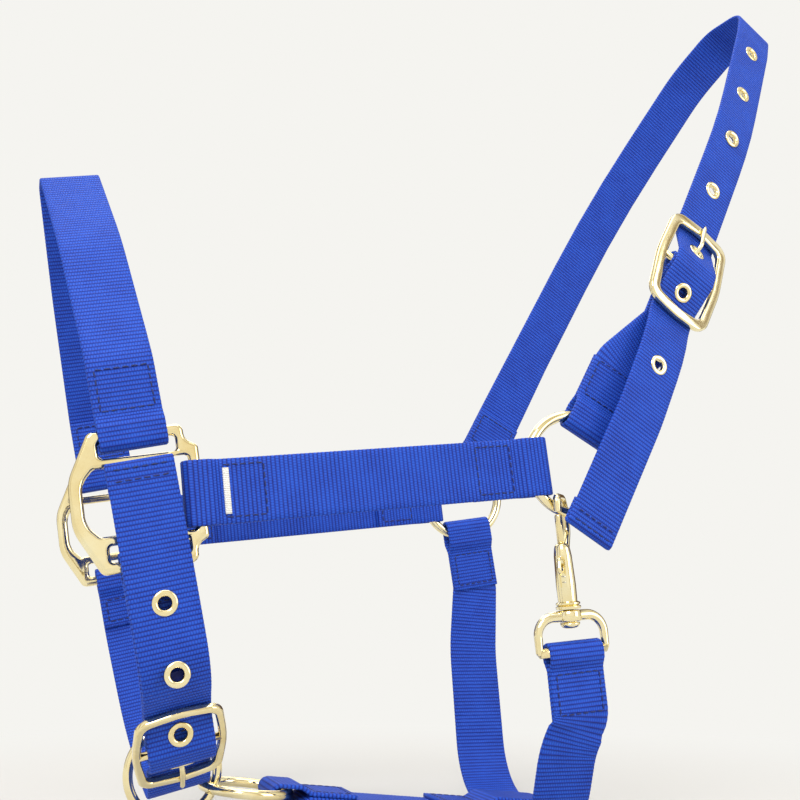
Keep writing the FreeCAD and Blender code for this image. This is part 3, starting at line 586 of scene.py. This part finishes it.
def woven_height(n):
    """Height of a ribbed weave: rows of yarn, each row half a yarn out of step with the next."""
    uv = n.add("ShaderNodeUVMap", uv_map="weave").outputs["UV"]
    parts = n.add("ShaderNodeSeparateXYZ", {0: uv})
    row = parts.outputs["X"]
    shift = n.math("MULTIPLY", n.math("FLOOR", n.math("MODULO", row, 2.0)), 0.5)
    yarn = n.math("ADD", parts.outputs["Y"], shift)

    def hump(value, flatness):
        from_middle = n.math("SUBTRACT", n.math("MULTIPLY", n.math("FRACT", value), 2.0), 1.0)
        return n.math("SUBTRACT", 1.0, n.math("POWER", n.math("ABSOLUTE", from_middle), flatness))

    yarn_share = 0.6
    across = n.math("ADD", n.math("MULTIPLY", hump(yarn, 2.4), yarn_share), 1.0 - yarn_share)
    return n.math("MULTIPLY", hump(row, 2.2), across)


def webbing_material(name, dark, middle, light, roughness):
    """Woven nylon: painted shade between the ribs and a painted highlight on their crests, a little fuzzy, with
    a faint sheen.
    """
    n = Shader(name)
    height = woven_height(n)
    worn = n.math("MULTIPLY", n.math("SUBTRACT", n.noise(90, 4.0), 0.5), 0.45)
    painted_shade_and_tone = n.math("ADD", height, worn)
    # Base colour: painted shade in the rib valleys and a painted highlight on the rib crests, from the weave's
    # height, over random tone.
    n.set("Base Color", n.ramp(painted_shade_and_tone, ((0.0, dark), (0.42, middle), (1.0, light))))
    fuzz = n.noise(2600, 2.0)
    relief = n.bump(fuzz, 0.25, 0.00012)
    n.set("Normal", n.bump(height, 0.8, 0.00028, relief))
    n.set("Roughness", n.math("ADD", n.math("MULTIPLY", fuzz, 0.2), roughness - 0.1))
    n.set("Specular IOR Level", 0.3)
    n.set("Sheen Weight", 0.06)
    n.set("Sheen Roughness", 0.4)
    n.set("Sheen Tint", (0.3, 0.45, 1.0, 1.0))
    return n.material


def brass_material():
    """Polished plate: pale brass, slightly uneven, with fine scratches and duller patches."""
    n = Shader("brass_plate_polished")
    patches = n.noise(55, 5.0, 0.6)
    deep, pale, bright = (0.84, 0.68, 0.33), (0.92, 0.80, 0.47), (0.95, 0.88, 0.60)
    n.set("Base Color", n.ramp(patches, ((0.3, deep), (0.52, pale), (0.75, bright))))
    n.set("Metallic", 1.0)
    stretch = n.add("ShaderNodeMapping", {"Vector": n.place("Object"), "Scale": (900, 900, 160)})
    scratches = {"Scale": 1.0, "Detail": 4.0, "Vector": stretch.outputs["Vector"]}
    grain = n.add("ShaderNodeTexNoise", scratches).outputs["Fac"]
    dull = n.math("MULTIPLY", n.noise(120, 3.0), 0.11)
    n.set("Roughness", n.math("ADD", dull, n.math("MULTIPLY", grain, 0.1)))
    cast = n.bump(n.noise(160, 1.5), 0.18, 0.0002)
    n.set("Normal", n.bump(grain, 0.05, 0.00005, cast))
    return n.material


def spring_material():
    n = Shader("spring_wire_bright")
    dark, light = (0.45, 0.45, 0.44), (0.68, 0.68, 0.66)
    n.set("Base Color", n.ramp(n.noise(400), ((0.3, dark), (0.7, light))))
    n.set("Metallic", 1.0)
    n.set("Roughness", n.math("MULTIPLY", n.noise(900), 0.6))
    return n.material


def thread_material():
    n = Shader("thread_twisted")
    twist = n.noise(1800, 2.0)
    dark, light = (0.001, 0.004, 0.05), (0.004, 0.018, 0.18)
    n.set("Base Color", n.ramp(twist, ((0.3, dark), (0.7, light))))
    n.set("Normal", n.bump(twist, 0.5, 0.0001))
    n.set("Roughness", n.math("ADD", n.math("MULTIPLY", twist, 0.2), 0.4))
    return n.material


# Each set runs from the painted shade between the ribs, through the middle tone, to the painted highlight on
# the rib crests.
ROYAL_BLUES = ((0.001, 0.008, 0.13), (0.004, 0.036, 0.36), (0.012, 0.085, 0.55))
TAPE_WHITES = ((0.50, 0.48, 0.42), (0.80, 0.79, 0.74), (0.90, 0.89, 0.86))
WEBBING = webbing_material("webbing_ribbed", *ROYAL_BLUES, 0.6)
TAPE = webbing_material("tab_tape_woven", *TAPE_WHITES, 0.75)
BRASS = brass_material()
SPRING = spring_material()
THREAD = thread_material()


# ---- mesh helpers ----
def new_object(name, data):
    made = bpy.data.objects.new(name, data)
    bpy.context.scene.collection.objects.link(made)
    return made


def new_mesh(name, points, faces):
    """A mesh in metres from points in millimetres."""
    mesh = bpy.data.meshes.new(name)
    mesh.from_pydata([tuple(point * MM) for point in points], [], faces)
    return mesh


def final_mesh(shown):
    """The mesh an object has once its modifiers or its curve have been worked out."""
    bpy.context.view_layer.update()
    return bpy.data.meshes.new_from_object(shown.evaluated_get(bpy.context.evaluated_depsgraph_get()))


def piece(name, points, faces, material, body, slot, replaced, flat=None):
    """Makes one smooth-shaded piece from points in millimetres, which rides on a body of the model.

    flat holds each point's place in the weave, in (rows, yarns).
    """
    mesh = new_mesh(name, points, faces)
    if flat:
        layer = mesh.uv_layers.new(name="weave")
        layer.data.foreach_set("uv", [value for face in faces for index in face for value in flat[index]])
    mesh.polygons.foreach_set("use_smooth", [True] * len(mesh.polygons))
    mesh.materials.append(material)
    mesh.update()
    shown = new_object(name, mesh)
    bpy.context.view_layer.update()
    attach(shown, body)
    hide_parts(*replaced)
    return shown


def brass(name, shape, body, node):
    """A brass piece, of (points, faces), that stands for one node of the model."""
    return piece(name, *shape, BRASS, body, "brass_plate", (node,))


def tube_faces(rings, sides, closed):
    """Quads between successive rings of points, with end caps unless the tube is closed."""
    faces = []
    spans = rings if closed else rings - 1
    for ring in range(spans):
        here = ring * sides
        there = ((ring + 1) % rings) * sides
        for side in range(sides):
            after = (side + 1) % sides
            faces.append((here + side, here + after, there + after, there + side))
    if not closed:
        faces.append(tuple(range(sides))[::-1])
        faces.append(tuple(range((rings - 1) * sides, rings * sides)))
    return faces


def circle(count):
    """Cosines and sines of evenly spaced angles."""
    angles = [2 * math.pi * step / count for step in range(count)]
    return [(math.cos(angle), math.sin(angle)) for angle in angles]


def spokes(axis, count):
    """Evenly spaced directions round an axis of unit length."""
    first = axis.orthogonal().normalized()
    second = axis.cross(first)
    return [first * cosine + second * sine for cosine, sine in circle(count)]


def sweep(path, sizes, sides=18):
    """An oval rod along a path; sizes gives its half sizes (across, through) part of the way along."""
    stations = resample(path, ROD_STEP)
    points = []
    for point, tangent, across, distance in stations:
        through = tangent.cross(across)
        half_across, half_through = sizes(distance / stations[-1][3])
        for cosine, sine in circle(sides):
            points.append(point + across * (half_across * cosine) + through * (half_through * sine))
    return points, tube_faces(len(stations), sides, False)


def lathe(base, axis, profile, segments):
    """A turned shape: profile is (radius, height) from one end on the axis to the other."""
    axis = axis.normalized()
    round_axis = spokes(axis, segments)
    points = []
    for radius, height in profile:
        points += [base + axis * height + spoke * max(radius, 0.001) for spoke in round_axis]
    return points, tube_faces(len(profile), segments, False)


def torus(centre, axis, radius, half_in, half_out, segments=120):
    """A closed ring of wire, half_in across and half_out along its axis."""
    axis = axis.normalized()
    sides = 20
    points = []
    for spoke in spokes(axis, segments):
        for cosine, sine in circle(sides):
            points.append(centre + spoke * (radius + half_in * cosine) + axis * (half_out * sine))
    return points, tube_faces(segments, sides, True)


def joined(parts):
    """Several (points, faces) as one."""
    points = []
    faces = []
    for part_points, part_faces in parts:
        start = len(points)
        points += part_points
        faces += [tuple(index + start for index in face) for face in part_faces]
    return points, faces


def rounded(corners):
    """A closed outline in a plane from (x, y, corner radius)."""
    outline = []
    count = len(corners)
    for index, (x, y, radius) in enumerate(corners):
        before = Vector((*corners[index - 1][:2], 0))
        after = Vector((*corners[(index + 1) % count][:2], 0))
        outline += bend(before, Vector((x, y, 0)), after, radius)
    return outline


def cast_plate(name, outlines, thickness, bevel, plane):
    """A mesh of a flat casting with rounded edges: the first outline is its edge, the rest are holes."""
    curve = bpy.data.curves.new(name, "CURVE")
    curve.dimensions = "2D"
    curve.fill_mode = "BOTH"
    curve.extrude = (thickness / 2 - bevel) * MM
    curve.bevel_depth = bevel * MM
    curve.bevel_resolution = 4
    curve.offset = -bevel * MM
    for outline in outlines:
        spline = curve.splines.new("POLY")
        spline.points.add(len(outline) - 1)
        for point, place in zip(spline.points, outline):
            point.co = (place.x * MM, place.y * MM, 0, 1)
        spline.use_cyclic_u = True
    holder = new_object(name, curve)
    mesh = final_mesh(holder)
    bpy.data.objects.remove(holder)
    welded = bmesh.new()
    welded.from_mesh(mesh)
    bmesh.ops.remove_doubles(welded, verts=welded.verts, dist=0.001 * MM)
    points = [Vector(v.co) / MM for v in welded.verts]
    faces = [tuple(v.index for v in face.verts) for face in welded.faces]
    welded.free()
    bpy.data.meshes.remove(mesh)
    return [plane.at(p.x, p.y, p.z) for p in points], faces


# ---- straps ----
def strap_section(half_width, half_thick):
    """Outline of the webbing across its width, with full, rounded selvedges."""
    edge = half_width - SELVEDGE
    steps = 10
    outer = [(-edge + 2 * edge * step / steps, half_thick) for step in range(steps + 1)]
    shoulder = (half_width - 0.12, half_thick * 0.62)
    right = [shoulder, (half_width, 0.0), (shoulder[0], -shoulder[1])]
    inner = [(x, -half_thick) for x, _ in outer[::-1]]
    left = [(-x, y) for x, y in right[::-1]]
    return outer + right + inner + left


def strap_mesh(route):
    """Ribbed webbing: every other section is a little lower and narrower."""
    stations = resample(walk(route), RIB_PITCH / 2)
    points = []
    flat = []
    for index, (point, tangent, across, distance) in enumerate(stations):
        low = RIB_DEPTH if index % 2 else 0.0
        through = tangent.cross(across)
        section = strap_section(WEB_WIDTH / 2 - low, WEB / 2 - low)
        for x, y in section:
            points.append(point + across * x + through * y)
            flat.append((distance / RIB_PITCH + 0.5, x / YARN_PITCH + 40.0))
    return points, tube_faces(len(stations), len(section), False), flat


def strap(name, route, holes=()):
    points, faces, flat = strap_mesh(route)
    shown = piece(name + "_webbing", points, faces, WEBBING, "webbing", "webbing", (name,), flat)
    if holes:
        cut(shown, holes)


def cut(shown, cutters):
    """Cuts shapes, given as (points, faces), out of a piece and keeps the result."""
    cutter = new_object("cutter", new_mesh("cutter", *joined(cutters)))
    modifier = shown.modifiers.new("cut", "BOOLEAN")
    modifier.operation = "DIFFERENCE"
    modifier.solver = "EXACT"
    modifier.object = cutter
    result = final_mesh(shown)
    shown.modifiers.clear()
    shown.data = result
    bpy.data.objects.remove(cutter)


def drill(places, radius):
    """Round cutters through the webbing at each place."""
    reach = 3.0
    profile = [(radius, 0), (radius, 2 * reach)]
    return [lathe(centre - axis * reach, axis, profile, 28) for centre, axis in places]


def slot_cutter(place):
    """The slit in a billet's fold that the tongue passes through."""
    half = 2.3
    low, high = -4.0, 6.0
    points = []
    for along in (-6.0, 5.2):
        for x, z in ((-half, low), (half, low), (half, high), (-half, high)):
            points.append(place.frame_plane.at(x, along, z))
    return points, tube_faces(2, 4, False)


def make_straps():
    crown = crown_route()
    chin = chin_route()
    crown_places = eyelet_places(CROWN_PLANE, crown, CROWN_EYELET_HEIGHTS, CROWN_BUCKLE, CROWN_WINDOW_EYELET)
    chin_places = eyelet_places(CHIN_PLANE, chin, CHIN_EYELET_DEPTHS, CHIN_BUCKLE, CHIN_WINDOW_EYELET)
    bore = EYELET_HOLE_R + EYELET_RIM
    strap("noseband", noseband_route())
    strap("near_cheek_strap", cheek_route(-HALF_WIDTH, ALONG))
    strap("far_cheek_strap", cheek_route(HALF_WIDTH, (0, -1)))
    strap("crown_strap", crown, drill(crown_places, bore))
    strap("crown_billet", crown_billet_route(), [slot_cutter(CROWN_BUCKLE)])
    strap("chin_strap", chin, drill(chin_places, bore))
    strap("chin_billet", chin_billet_route(), [slot_cutter(CHIN_BUCKLE)])
    strap("throat_strap", throat_route())
    strap("jaw_strap", jaw_route())
    eyelets("crown_eyelets", crown_places)
    eyelets("chin_eyelets", chin_places)


def eyelets(name, places):
    """Rolled brass eyelets: a domed flange on both faces and a barrel between them."""
    face = WEB / 2
    rim = EYELET_RIM
    middle = (EYELET_R + EYELET_HOLE_R) / 2
    segments = 44
    top = [(EYELET_R, face), (EYELET_R - 0.06, face + rim * 0.45), (EYELET_R - 0.55, face + rim * 0.85),
           (middle + 0.2, face + rim), (middle - 0.5, face + rim * 0.86),
           (EYELET_HOLE_R + 0.22, face + rim * 0.35), (EYELET_HOLE_R, face - 0.25)]
    profile = top + [(radius, -height) for radius, height in top[::-1]]
    parts = []
    for centre, axis in places:
        points, faces = lathe(centre, axis, profile, segments)
        inside_wall = tube_faces(len(profile), segments, True)[-segments:]
        parts.append((points, faces[:-2] + inside_wall))
    brass(name + "_rolled", joined(parts), "webbing", name)


def make_stitches():
    """Every stitch is a short, plump length of thread lying in the webbing's face."""
    shape = [(0.25, -0.5), (0.8, -0.38), (1.0, -0.15), (1.0, 0.15), (0.8, 0.38), (0.25, 0.5)]
    sides = 6
    flatness = 0.75
    proud = 0.02
    parts = []
    for middle, heading, out in stitch_places:
        across = heading.cross(out).normalized()
        lean = heading * math.cos(0.1) + across * math.sin(random.uniform(-0.12, 0.12))
        points = []
        for radius, along in shape:
            for cosine, sine in circle(sides):
                spoke = across * cosine + out * (sine * flatness)
                points.append(middle + out * proud + lean * (along * STITCH_LENGTH)
                              + spoke * (radius * STITCH_R))
        parts.append((points, tube_faces(len(shape), sides, False)))
    piece("stitching_rows", *joined(parts), THREAD, "webbing", "thread", ("stitching",))


def make_tab():
    """A blank folded tab of tape sewn beside the near square."""
    length = 17.5
    columns = 24
    from_bar = 9.2
    out = (WEB + PLY_GAP) / 2 + WEB / 2
    start = -SPAN / 2 + SQUARE_SIDE_REACH + from_bar
    plane = Plane(-SIDE * HALF_WIDTH, CHEEK_DIR, SIDE)
    section = [(0.0, -0.08), (0.2, -0.62), (0.6, -0.74), (1.3, -0.66), (2.0, -0.74), (2.4, -0.62), (2.6, -0.08),
               (1.3, -0.04)]
    raised = -0.3
    points = []
    flat = []
    for column in range(columns + 1):
        across = length * (column / columns - 0.5)
        wave = 0.06 * math.sin(column * 1.7)
        for x, y in section:
            points.append(plane.at(start + x, -out + y + wave * (y < raised), across))
            flat.append((across / 0.7 + 40, x / 0.6))
    faces = tube_faces(columns + 1, len(section), False)
    piece("woven_tab_blank", points, faces, TAPE, "webbing", "tab_tape", ("woven_tab",), flat)


# ---- hardware ----
def make_rings():
    rings = (("near_ring", "near_cheek_ring", NEAR_RING, SIDE, RING_R, RING_WIRE),
             ("far_ring", "far_cheek_ring", FAR_RING, SIDE, RING_R, RING_WIRE),
             ("chin_ring", "chin_o_ring", CHIN_RING, SIDE, SMALL_RING_R, SMALL_RING_WIRE),
             ("jaw_ring", "jaw_o_ring", JAW_CENTRE, JAW_PLANE.second, SMALL_RING_R, SMALL_RING_WIRE))
    for node, body, centre, axis, radius, wire in rings:
        brass(node + "_wire", torus(centre, axis, radius, wire / 2, wire / 2), body, node)


def square(node, lateral):
    """A cast square: bowed blank bar in front, three strap slots and an open window."""
    reach = SQUARE_REACH + SQUARE_BAR / 2
    side = SQUARE_SIDE_REACH + SQUARE_BAR / 2
    ear = WEB_WIDTH / 2 + 4.8
    shoulder = side - 2.0
    bow = ear + 8.6
    outer = rounded([(-ear, reach, 3), (ear, reach, 3), (ear, shoulder, 4.2), (side, ear, 2.2),
                     (side, -ear, 2.2), (ear, -shoulder, 4.2), (ear, -reach, 3), (-ear, -reach, 3),
                     (-bow, -9, 16), (-bow, 9, 16)])
    slot_out = reach - SQUARE_BAR
    slot_in = slot_out - SQUARE_SLOT
    side_slot_out = side - SQUARE_BAR
    side_slot_in = side_slot_out - SQUARE_SLOT
    half_slot = WEB_WIDTH / 2 + SQUARE_SLACK + 0.6
    slots = [(-half_slot, half_slot, slot_in, slot_out),
             (-half_slot, half_slot, -slot_out, -slot_in),
             (side_slot_in, side_slot_out, -half_slot, half_slot)]
    outlines = [outer]
    for x0, x1, y0, y1 in slots:
        outlines.append(rounded([(x0, y0, 1.5), (x1, y0, 1.5), (x1, y1, 1.5), (x0, y1, 1.5)]))
    inner = side_slot_in - 3.5
    high = slot_in - 3.6
    front = -16.6
    bow_in = -21.2
    outlines.append(rounded([(front, -high, 2), (inner, -high, 1.5), (inner, high, 1.5), (front, high, 2),
                             (bow_in, 7.5, 9), (bow_in, -7.5, 9)]))
    plane = Plane(SQUARE_CENTRE + SIDE * lateral, in_profile(SQUARE_TILT), in_profile(SQUARE_TILT + 90))
    brass(node + "_cast", cast_plate(node, outlines, SQUARE_THICK, 1.6, plane), "webbing", node)


def buckle(which, place):
    """A cast buckle frame with bowed sides, its middle bar, and the tongue that turns on it."""
    plane = place.frame_plane
    bow = 1.2
    drop = 2.0

    def outline(half_w, half_l, corner, end_bow, side_bow):
        return rounded([(-half_w + bow, -half_l + drop, corner), (0, -half_l, end_bow),
                        (half_w - bow, -half_l + drop, corner), (half_w + bow, 0, side_bow),
                        (half_w - bow, half_l - drop, corner), (0, half_l, end_bow),
                        (-half_w + bow, half_l - drop, corner), (-half_w - bow, 0, side_bow)])

    half_w = place.width / 2
    half_l = place.length / 2
    outer = outline(half_w, half_l, 3 + place.rim, 30, 60)
    window = outline(half_w - place.rim, half_l - place.rim, 3.5, 25, 50)
    shell = cast_plate(which, [outer, window], BUCKLE_BAR, 1.0, plane)
    bar_r = BUCKLE_BAR / 2
    bar_half = half_w - 1.2
    bar = lathe(plane.at(-bar_half, 0), plane.first, [(bar_r, 0), (bar_r, 2 * bar_half)], 24)
    brass(which + "_buckle_cast", joined([shell, bar]), which + "_buckle", which + "_buckle_frame")
    tongue_r = 1.1
    collar_r = bar_r + 0.7
    rest = bar_r + tongue_r + 0.3
    tip = -place.end_bar
    profile = [(-collar_r, 0.0, 0)] + place.tongue_rise + [(tip, rest, 6), (tip - 3, rest - 0.3, 0)]
    route = [(plane.at(0, along, out), plane.first, radius) for along, out, radius in profile]

    def size(part):
        pointed = 0.6 * max(0, part - 0.93) / 0.07
        return 1.15 - 0.15 * part - pointed, tongue_r - 0.1 * part - pointed

    collar = torus(plane.at(0, 0), plane.first, collar_r, 0.62, 1.5, segments=48)
    shape = joined([sweep(walk(route), size), collar])
    brass(which + "_tongue_bent", shape, which + "_tongue", which + "_buckle_tongue")


def make_snap_body():
    """Hook, barrel and collar in one casting, with a slot for the thumb piece."""
    arch = HOOK_TOP - 1.3
    corners = [(3.6, -26, 0), (4.2, -20, 3), (13.6, -8.5, 6), (13.9, 1.6, 4), (10.8, arch, 4), (0.3, arch, 2.6),
               (0, HOOK_TIP + 0.9, 0)]
    route = [HOOK_PLANE.stop(*corner) for corner in corners]

    def size(part):
        return 1.6, 1.9 - 0.55 * min(1, part * 1.6) + 1.25 * max(0, part - 0.8)

    hook = sweep(walk(route), size, 20)
    height = BARREL_TOP - BARREL_FOOT
    r = BARREL_R
    stem_hole = 1.75
    turned_collar = [(r - 0.6, 0), (r + 0.9, 0.15), (r + 1.1, 0.7), (r + 1.1, 1.3), (r + 0.2, 1.7),
                     (r + 0.9, 2.1), (r + 0.9, 2.8), (r - 0.2, 3.3)]
    turned_barrel = [(r - 0.1, 5.0), (r, 10.0), (r - 0.4, height - 2), (r - 0.8, height + 1),
                     (r - 1.2, height + 2.2), (r - 1.9, height + COLLAR), (stem_hole, height + COLLAR),
                     (stem_hole, height + COLLAR - 2.5)]
    barrel = lathe(HOOK_PLANE.at(0, SWIVEL_TOP), SNAP_UP, turned_collar + turned_barrel, 48)
    shown = brass("snap_body_cast", joined([hook, barrel]), "snap", "snap_body")
    foot = THUMB_HEIGHT - 2.8 - BOLT_TRAVEL
    top = THUMB_HEIGHT + 2.2
    outer, inner = -BARREL_R - 3, -2.6
    half_slot = 1.4
    slot = [HOOK_PLANE.at(x, y, z) for z in (-half_slot, half_slot)
            for x, y in ((outer, foot), (inner, foot), (inner, top), (outer, top))]
    cut(shown, [(slot, tube_faces(2, 4, False))])
    shown.data.set_sharp_from_angle(angle=math.radians(50))


def make_snap_bolt():
    """Spring-loaded bolt with a drop-shaped thumb piece."""
    plunger = lathe(HOOK_PLANE.at(0, PLUNGER_FOOT), SNAP_UP, [(2.0, 0), (2.5, 0.3), (2.5, 9.6)], 28)
    stem = lathe(HOOK_PLANE.at(0, BARREL_TOP - 4), SNAP_UP,
                 [(1.6, 0), (1.6, 15.4), (1.45, 16.0), (1.0, 16.3), (0.2, 16.35)], 28)
    loop = [(-1.5, 1.0, 0), (-7.4, 1.0, 2.2), (-9.9, -4.9, 1.4), (-6.6, -4.9, 1.4), (-1.5, -1.2, 0)]
    route = [HOOK_PLANE.stop(x, THUMB_HEIGHT + y, radius) for x, y, radius in loop]
    arm = sweep(walk(route), lambda part: (0.85, 0.8), 16)
    brass("snap_bolt_turned", joined([plunger, stem, arm]), "bolt", "snap_bolt")


def make_snap_yoke():
    """U-shaped yoke with a thick arch, a boss for the swivel's rivet and a bar for the throat strap."""
    top = SWIVEL_TOP - SWIVEL_GAP
    arch = top - YOKE_WIRE / 2
    leg = WEB_WIDTH / 2 + 0.6 + YOKE_WIRE / 2
    foot = -YOKE_DROP - 1.2
    corners = [(-leg, foot, 0), (-leg, arch, 7.5), (leg, arch, 7.5), (leg, foot, 0)]
    route = [YOKE_DRAW.stop(*corner) for corner in corners]

    def size(part):
        from_middle = abs(part - 0.5)
        rounded_end = math.sqrt(max(0.05, 1 - (max(0, from_middle - 0.46) / 0.04) ** 2))
        thick = YOKE_WIRE / 2 * (0.86 + 0.14 * math.cos(from_middle * 2 * math.pi))
        return thick * rounded_end, thick * rounded_end

    bow = sweep(walk(route), size, 22)
    bar = lathe(YOKE_DRAW.at(-leg, -YOKE_DROP), SNAP_LEVEL, [(YOKE_BAR_R, 0), (YOKE_BAR_R, 2 * leg)], 24)
    boss_height = 4.6
    boss = lathe(YOKE_DRAW.at(0, top - boss_height), SNAP_UP,
                 [(2.3, 0), (4.4, 0), (5.0, 0.6), (5.0, 4.0), (4.5, boss_height), (2.3, boss_height)], 40)
    brass("snap_yoke_cast", joined([bow, bar, boss]), "yoke", "snap_yoke")
    rivet = lathe(HOOK_PLANE.at(0, SWIVEL_TOP), -SNAP_UP,
                  [(2.2, 0), (2.2, 5.2), (4.1, 5.3), (4.0, 6.1), (3.3, 7.1), (2.0, 7.6), (0.1, 7.75)], 36)
    brass("snap_rivet_headed", rivet, "snap", "snap_rivet")


def make_spring():
    """The spring behind the bolt, one fixed coil, though the real one shortens as the bolt is drawn back."""
    wire = 0.3
    radius = BORE_R - 0.25 - wire
    foot = SPRING_SEAT + wire + 0.05
    height = SPRING_ROOM - 2 * wire - 0.1
    turns = 4
    steps = 160
    path = []
    for step in range(steps + 1):
        angle = 2 * math.pi * turns * step / steps
        point = HOOK_PLANE.at(radius * math.cos(angle), foot + height * step / steps, radius * math.sin(angle))
        path.append((point, SNAP_UP))
    shape = sweep(path, lambda part: (wire, wire), 8)
    coil = piece("snap_spring_coil", *shape, SPRING, "snap", "spring_wire", ("snap_spring",))
    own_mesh(coil)


# ---- floor, light and camera ----
PAPER = (0.913, 0.905, 0.871)


def floor_material(fade_start, fade_end):
    """Matt paper that fades into an even backdrop away from the halter."""
    n = Shader("floor_paper")
    n.set("Base Color", (0.6, 0.595, 0.575, 1.0))
    n.set("Roughness", 0.9)
    n.set("Specular IOR Level", 0.1)
    distance = n.add("ShaderNodeVectorMath", {0: n.place("Object")}, operation="LENGTH").outputs["Value"]
    fade = n.add("ShaderNodeMapRange", {"Value": distance, "From Min": fade_start, "From Max": fade_end},
                 interpolation_type="SMOOTHSTEP")
    glow = n.add("ShaderNodeEmission", {"Color": (*PAPER, 1.0)})
    mix = n.add("ShaderNodeMixShader", {"Fac": fade.outputs["Result"], 1: n.shader.outputs["BSDF"],
                                        2: glow.outputs["Emission"]})
    n.put(n.tree.nodes["Material Output"].inputs["Surface"], mix.outputs["Shader"])
    return n.material


def make_floor():
    mesh = bpy.data.meshes.new("floor")
    half = 6.0
    corners = [(-half, -half, 0), (half, -half, 0), (half, half, 0), (-half, half, 0)]
    mesh.from_pydata(corners, [], [(0, 1, 2, 3)])
    mesh.materials.append(floor_material(0.16, 0.5))
    floor = new_object("floor", mesh)
    floor.location = (0, 0, FLOOR_LEVEL)


def area_light(name, place, target, size, power):
    data = bpy.data.lights.new(name, "AREA")
    data.shape = "RECTANGLE"
    data.size, data.size_y = size
    data.energy = power
    lamp = new_object(name, data)
    lamp.location = place
    lamp.rotation_euler = (Vector(target) - Vector(place)).to_track_quat("-Z", "Y").to_euler()


def make_world():
    """A studio for the metal to reflect: bright towards the near side, dark behind, with one dark band.

    The backdrop itself is seen as plain paper.
    """
    bright_way = (-0.34, -0.92, 0.2)
    tones = ((0.0, (0.10, 0.06, 0.03)), (0.22, (0.16, 0.11, 0.07)), (0.36, (0.75, 0.74, 0.72)),
             (0.52, (1.0, 1.0, 1.0)), (0.58, (0.30, 0.22, 0.12)), (0.64, (1.0, 1.0, 1.0)),
             (0.76, (1.0, 1.0, 1.0)), (0.85, (0.66, 0.58, 0.44)), (0.93, (1.0, 0.97, 0.9)),
             (1.0, (1.0, 0.98, 0.93)))
    world = bpy.data.worlds.new("studio")
    bpy.context.scene.world = world
    world.use_nodes = True
    n = Tree(world.node_tree)
    facing = n.add("ShaderNodeVectorMath", {0: n.place("Generated"), 1: bright_way}, operation="DOT_PRODUCT")
    part = n.math("MULTIPLY_ADD", facing.outputs["Value"], 0.5, 0.5)
    seen = n.add("ShaderNodeLightPath").outputs["Is Camera Ray"]
    mix = n.add("ShaderNodeMix", {"Factor": seen, "A": n.ramp(part, tones), "B": (*PAPER, 1)}, data_type="RGBA")
    background = n.tree.nodes["Background"]
    n.put(background.inputs["Color"], mix.outputs["Result"])
    n.put(background.inputs["Strength"], 1.0)


def make_light():
    make_world()
    middle = (0.0, 0.0, 0.05)
    area_light("key", (-0.9, -1.3, 1.2), middle, (0.9, 0.9), 22)
    area_light("fill", (1.2, -1.2, 0.35), middle, (0.8, 1.2), 8)
    area_light("back", (0.3, 1.4, 1.0), middle, (1.2, 0.8), 8)
    area_light("top", (0.0, 0.0, 1.6), middle, (1.4, 1.4), 12)


def make_camera():
    """The viewpoint: out from the near side, towards the nose and below the cheek straps."""
    target = Vector((0.0325, 0.0, 0.04775))
    distance = 0.4764
    azimuth = math.radians(-20.4)
    elevation = math.radians(-12.55)
    back = Vector((math.sin(azimuth) * math.cos(elevation), -math.cos(azimuth) * math.cos(elevation),
                   math.sin(elevation)))
    data = bpy.data.cameras.new("camera")
    data.lens = 44.94
    data.sensor_width = 36.0
    data.clip_start = 0.01
    data.clip_end = 50.0
    camera = new_object("camera", data)
    camera.location = target + back * distance
    camera.rotation_mode = "QUATERNION"
    camera.rotation_quaternion = (-back).to_track_quat("-Z", "Y")
    bpy.context.scene.camera = camera
    bpy.context.scene.view_settings.view_transform = "Standard"


make_camera()
make_floor()
make_light()
make_straps()
make_stitches()
make_tab()
make_rings()
square("near_square", -HALF_WIDTH)
square("far_square", HALF_WIDTH)
buckle("crown", CROWN_BUCKLE)
buckle("chin", CHIN_BUCKLE)
make_snap_body()
make_snap_bolt()
make_snap_yoke()
make_spring()
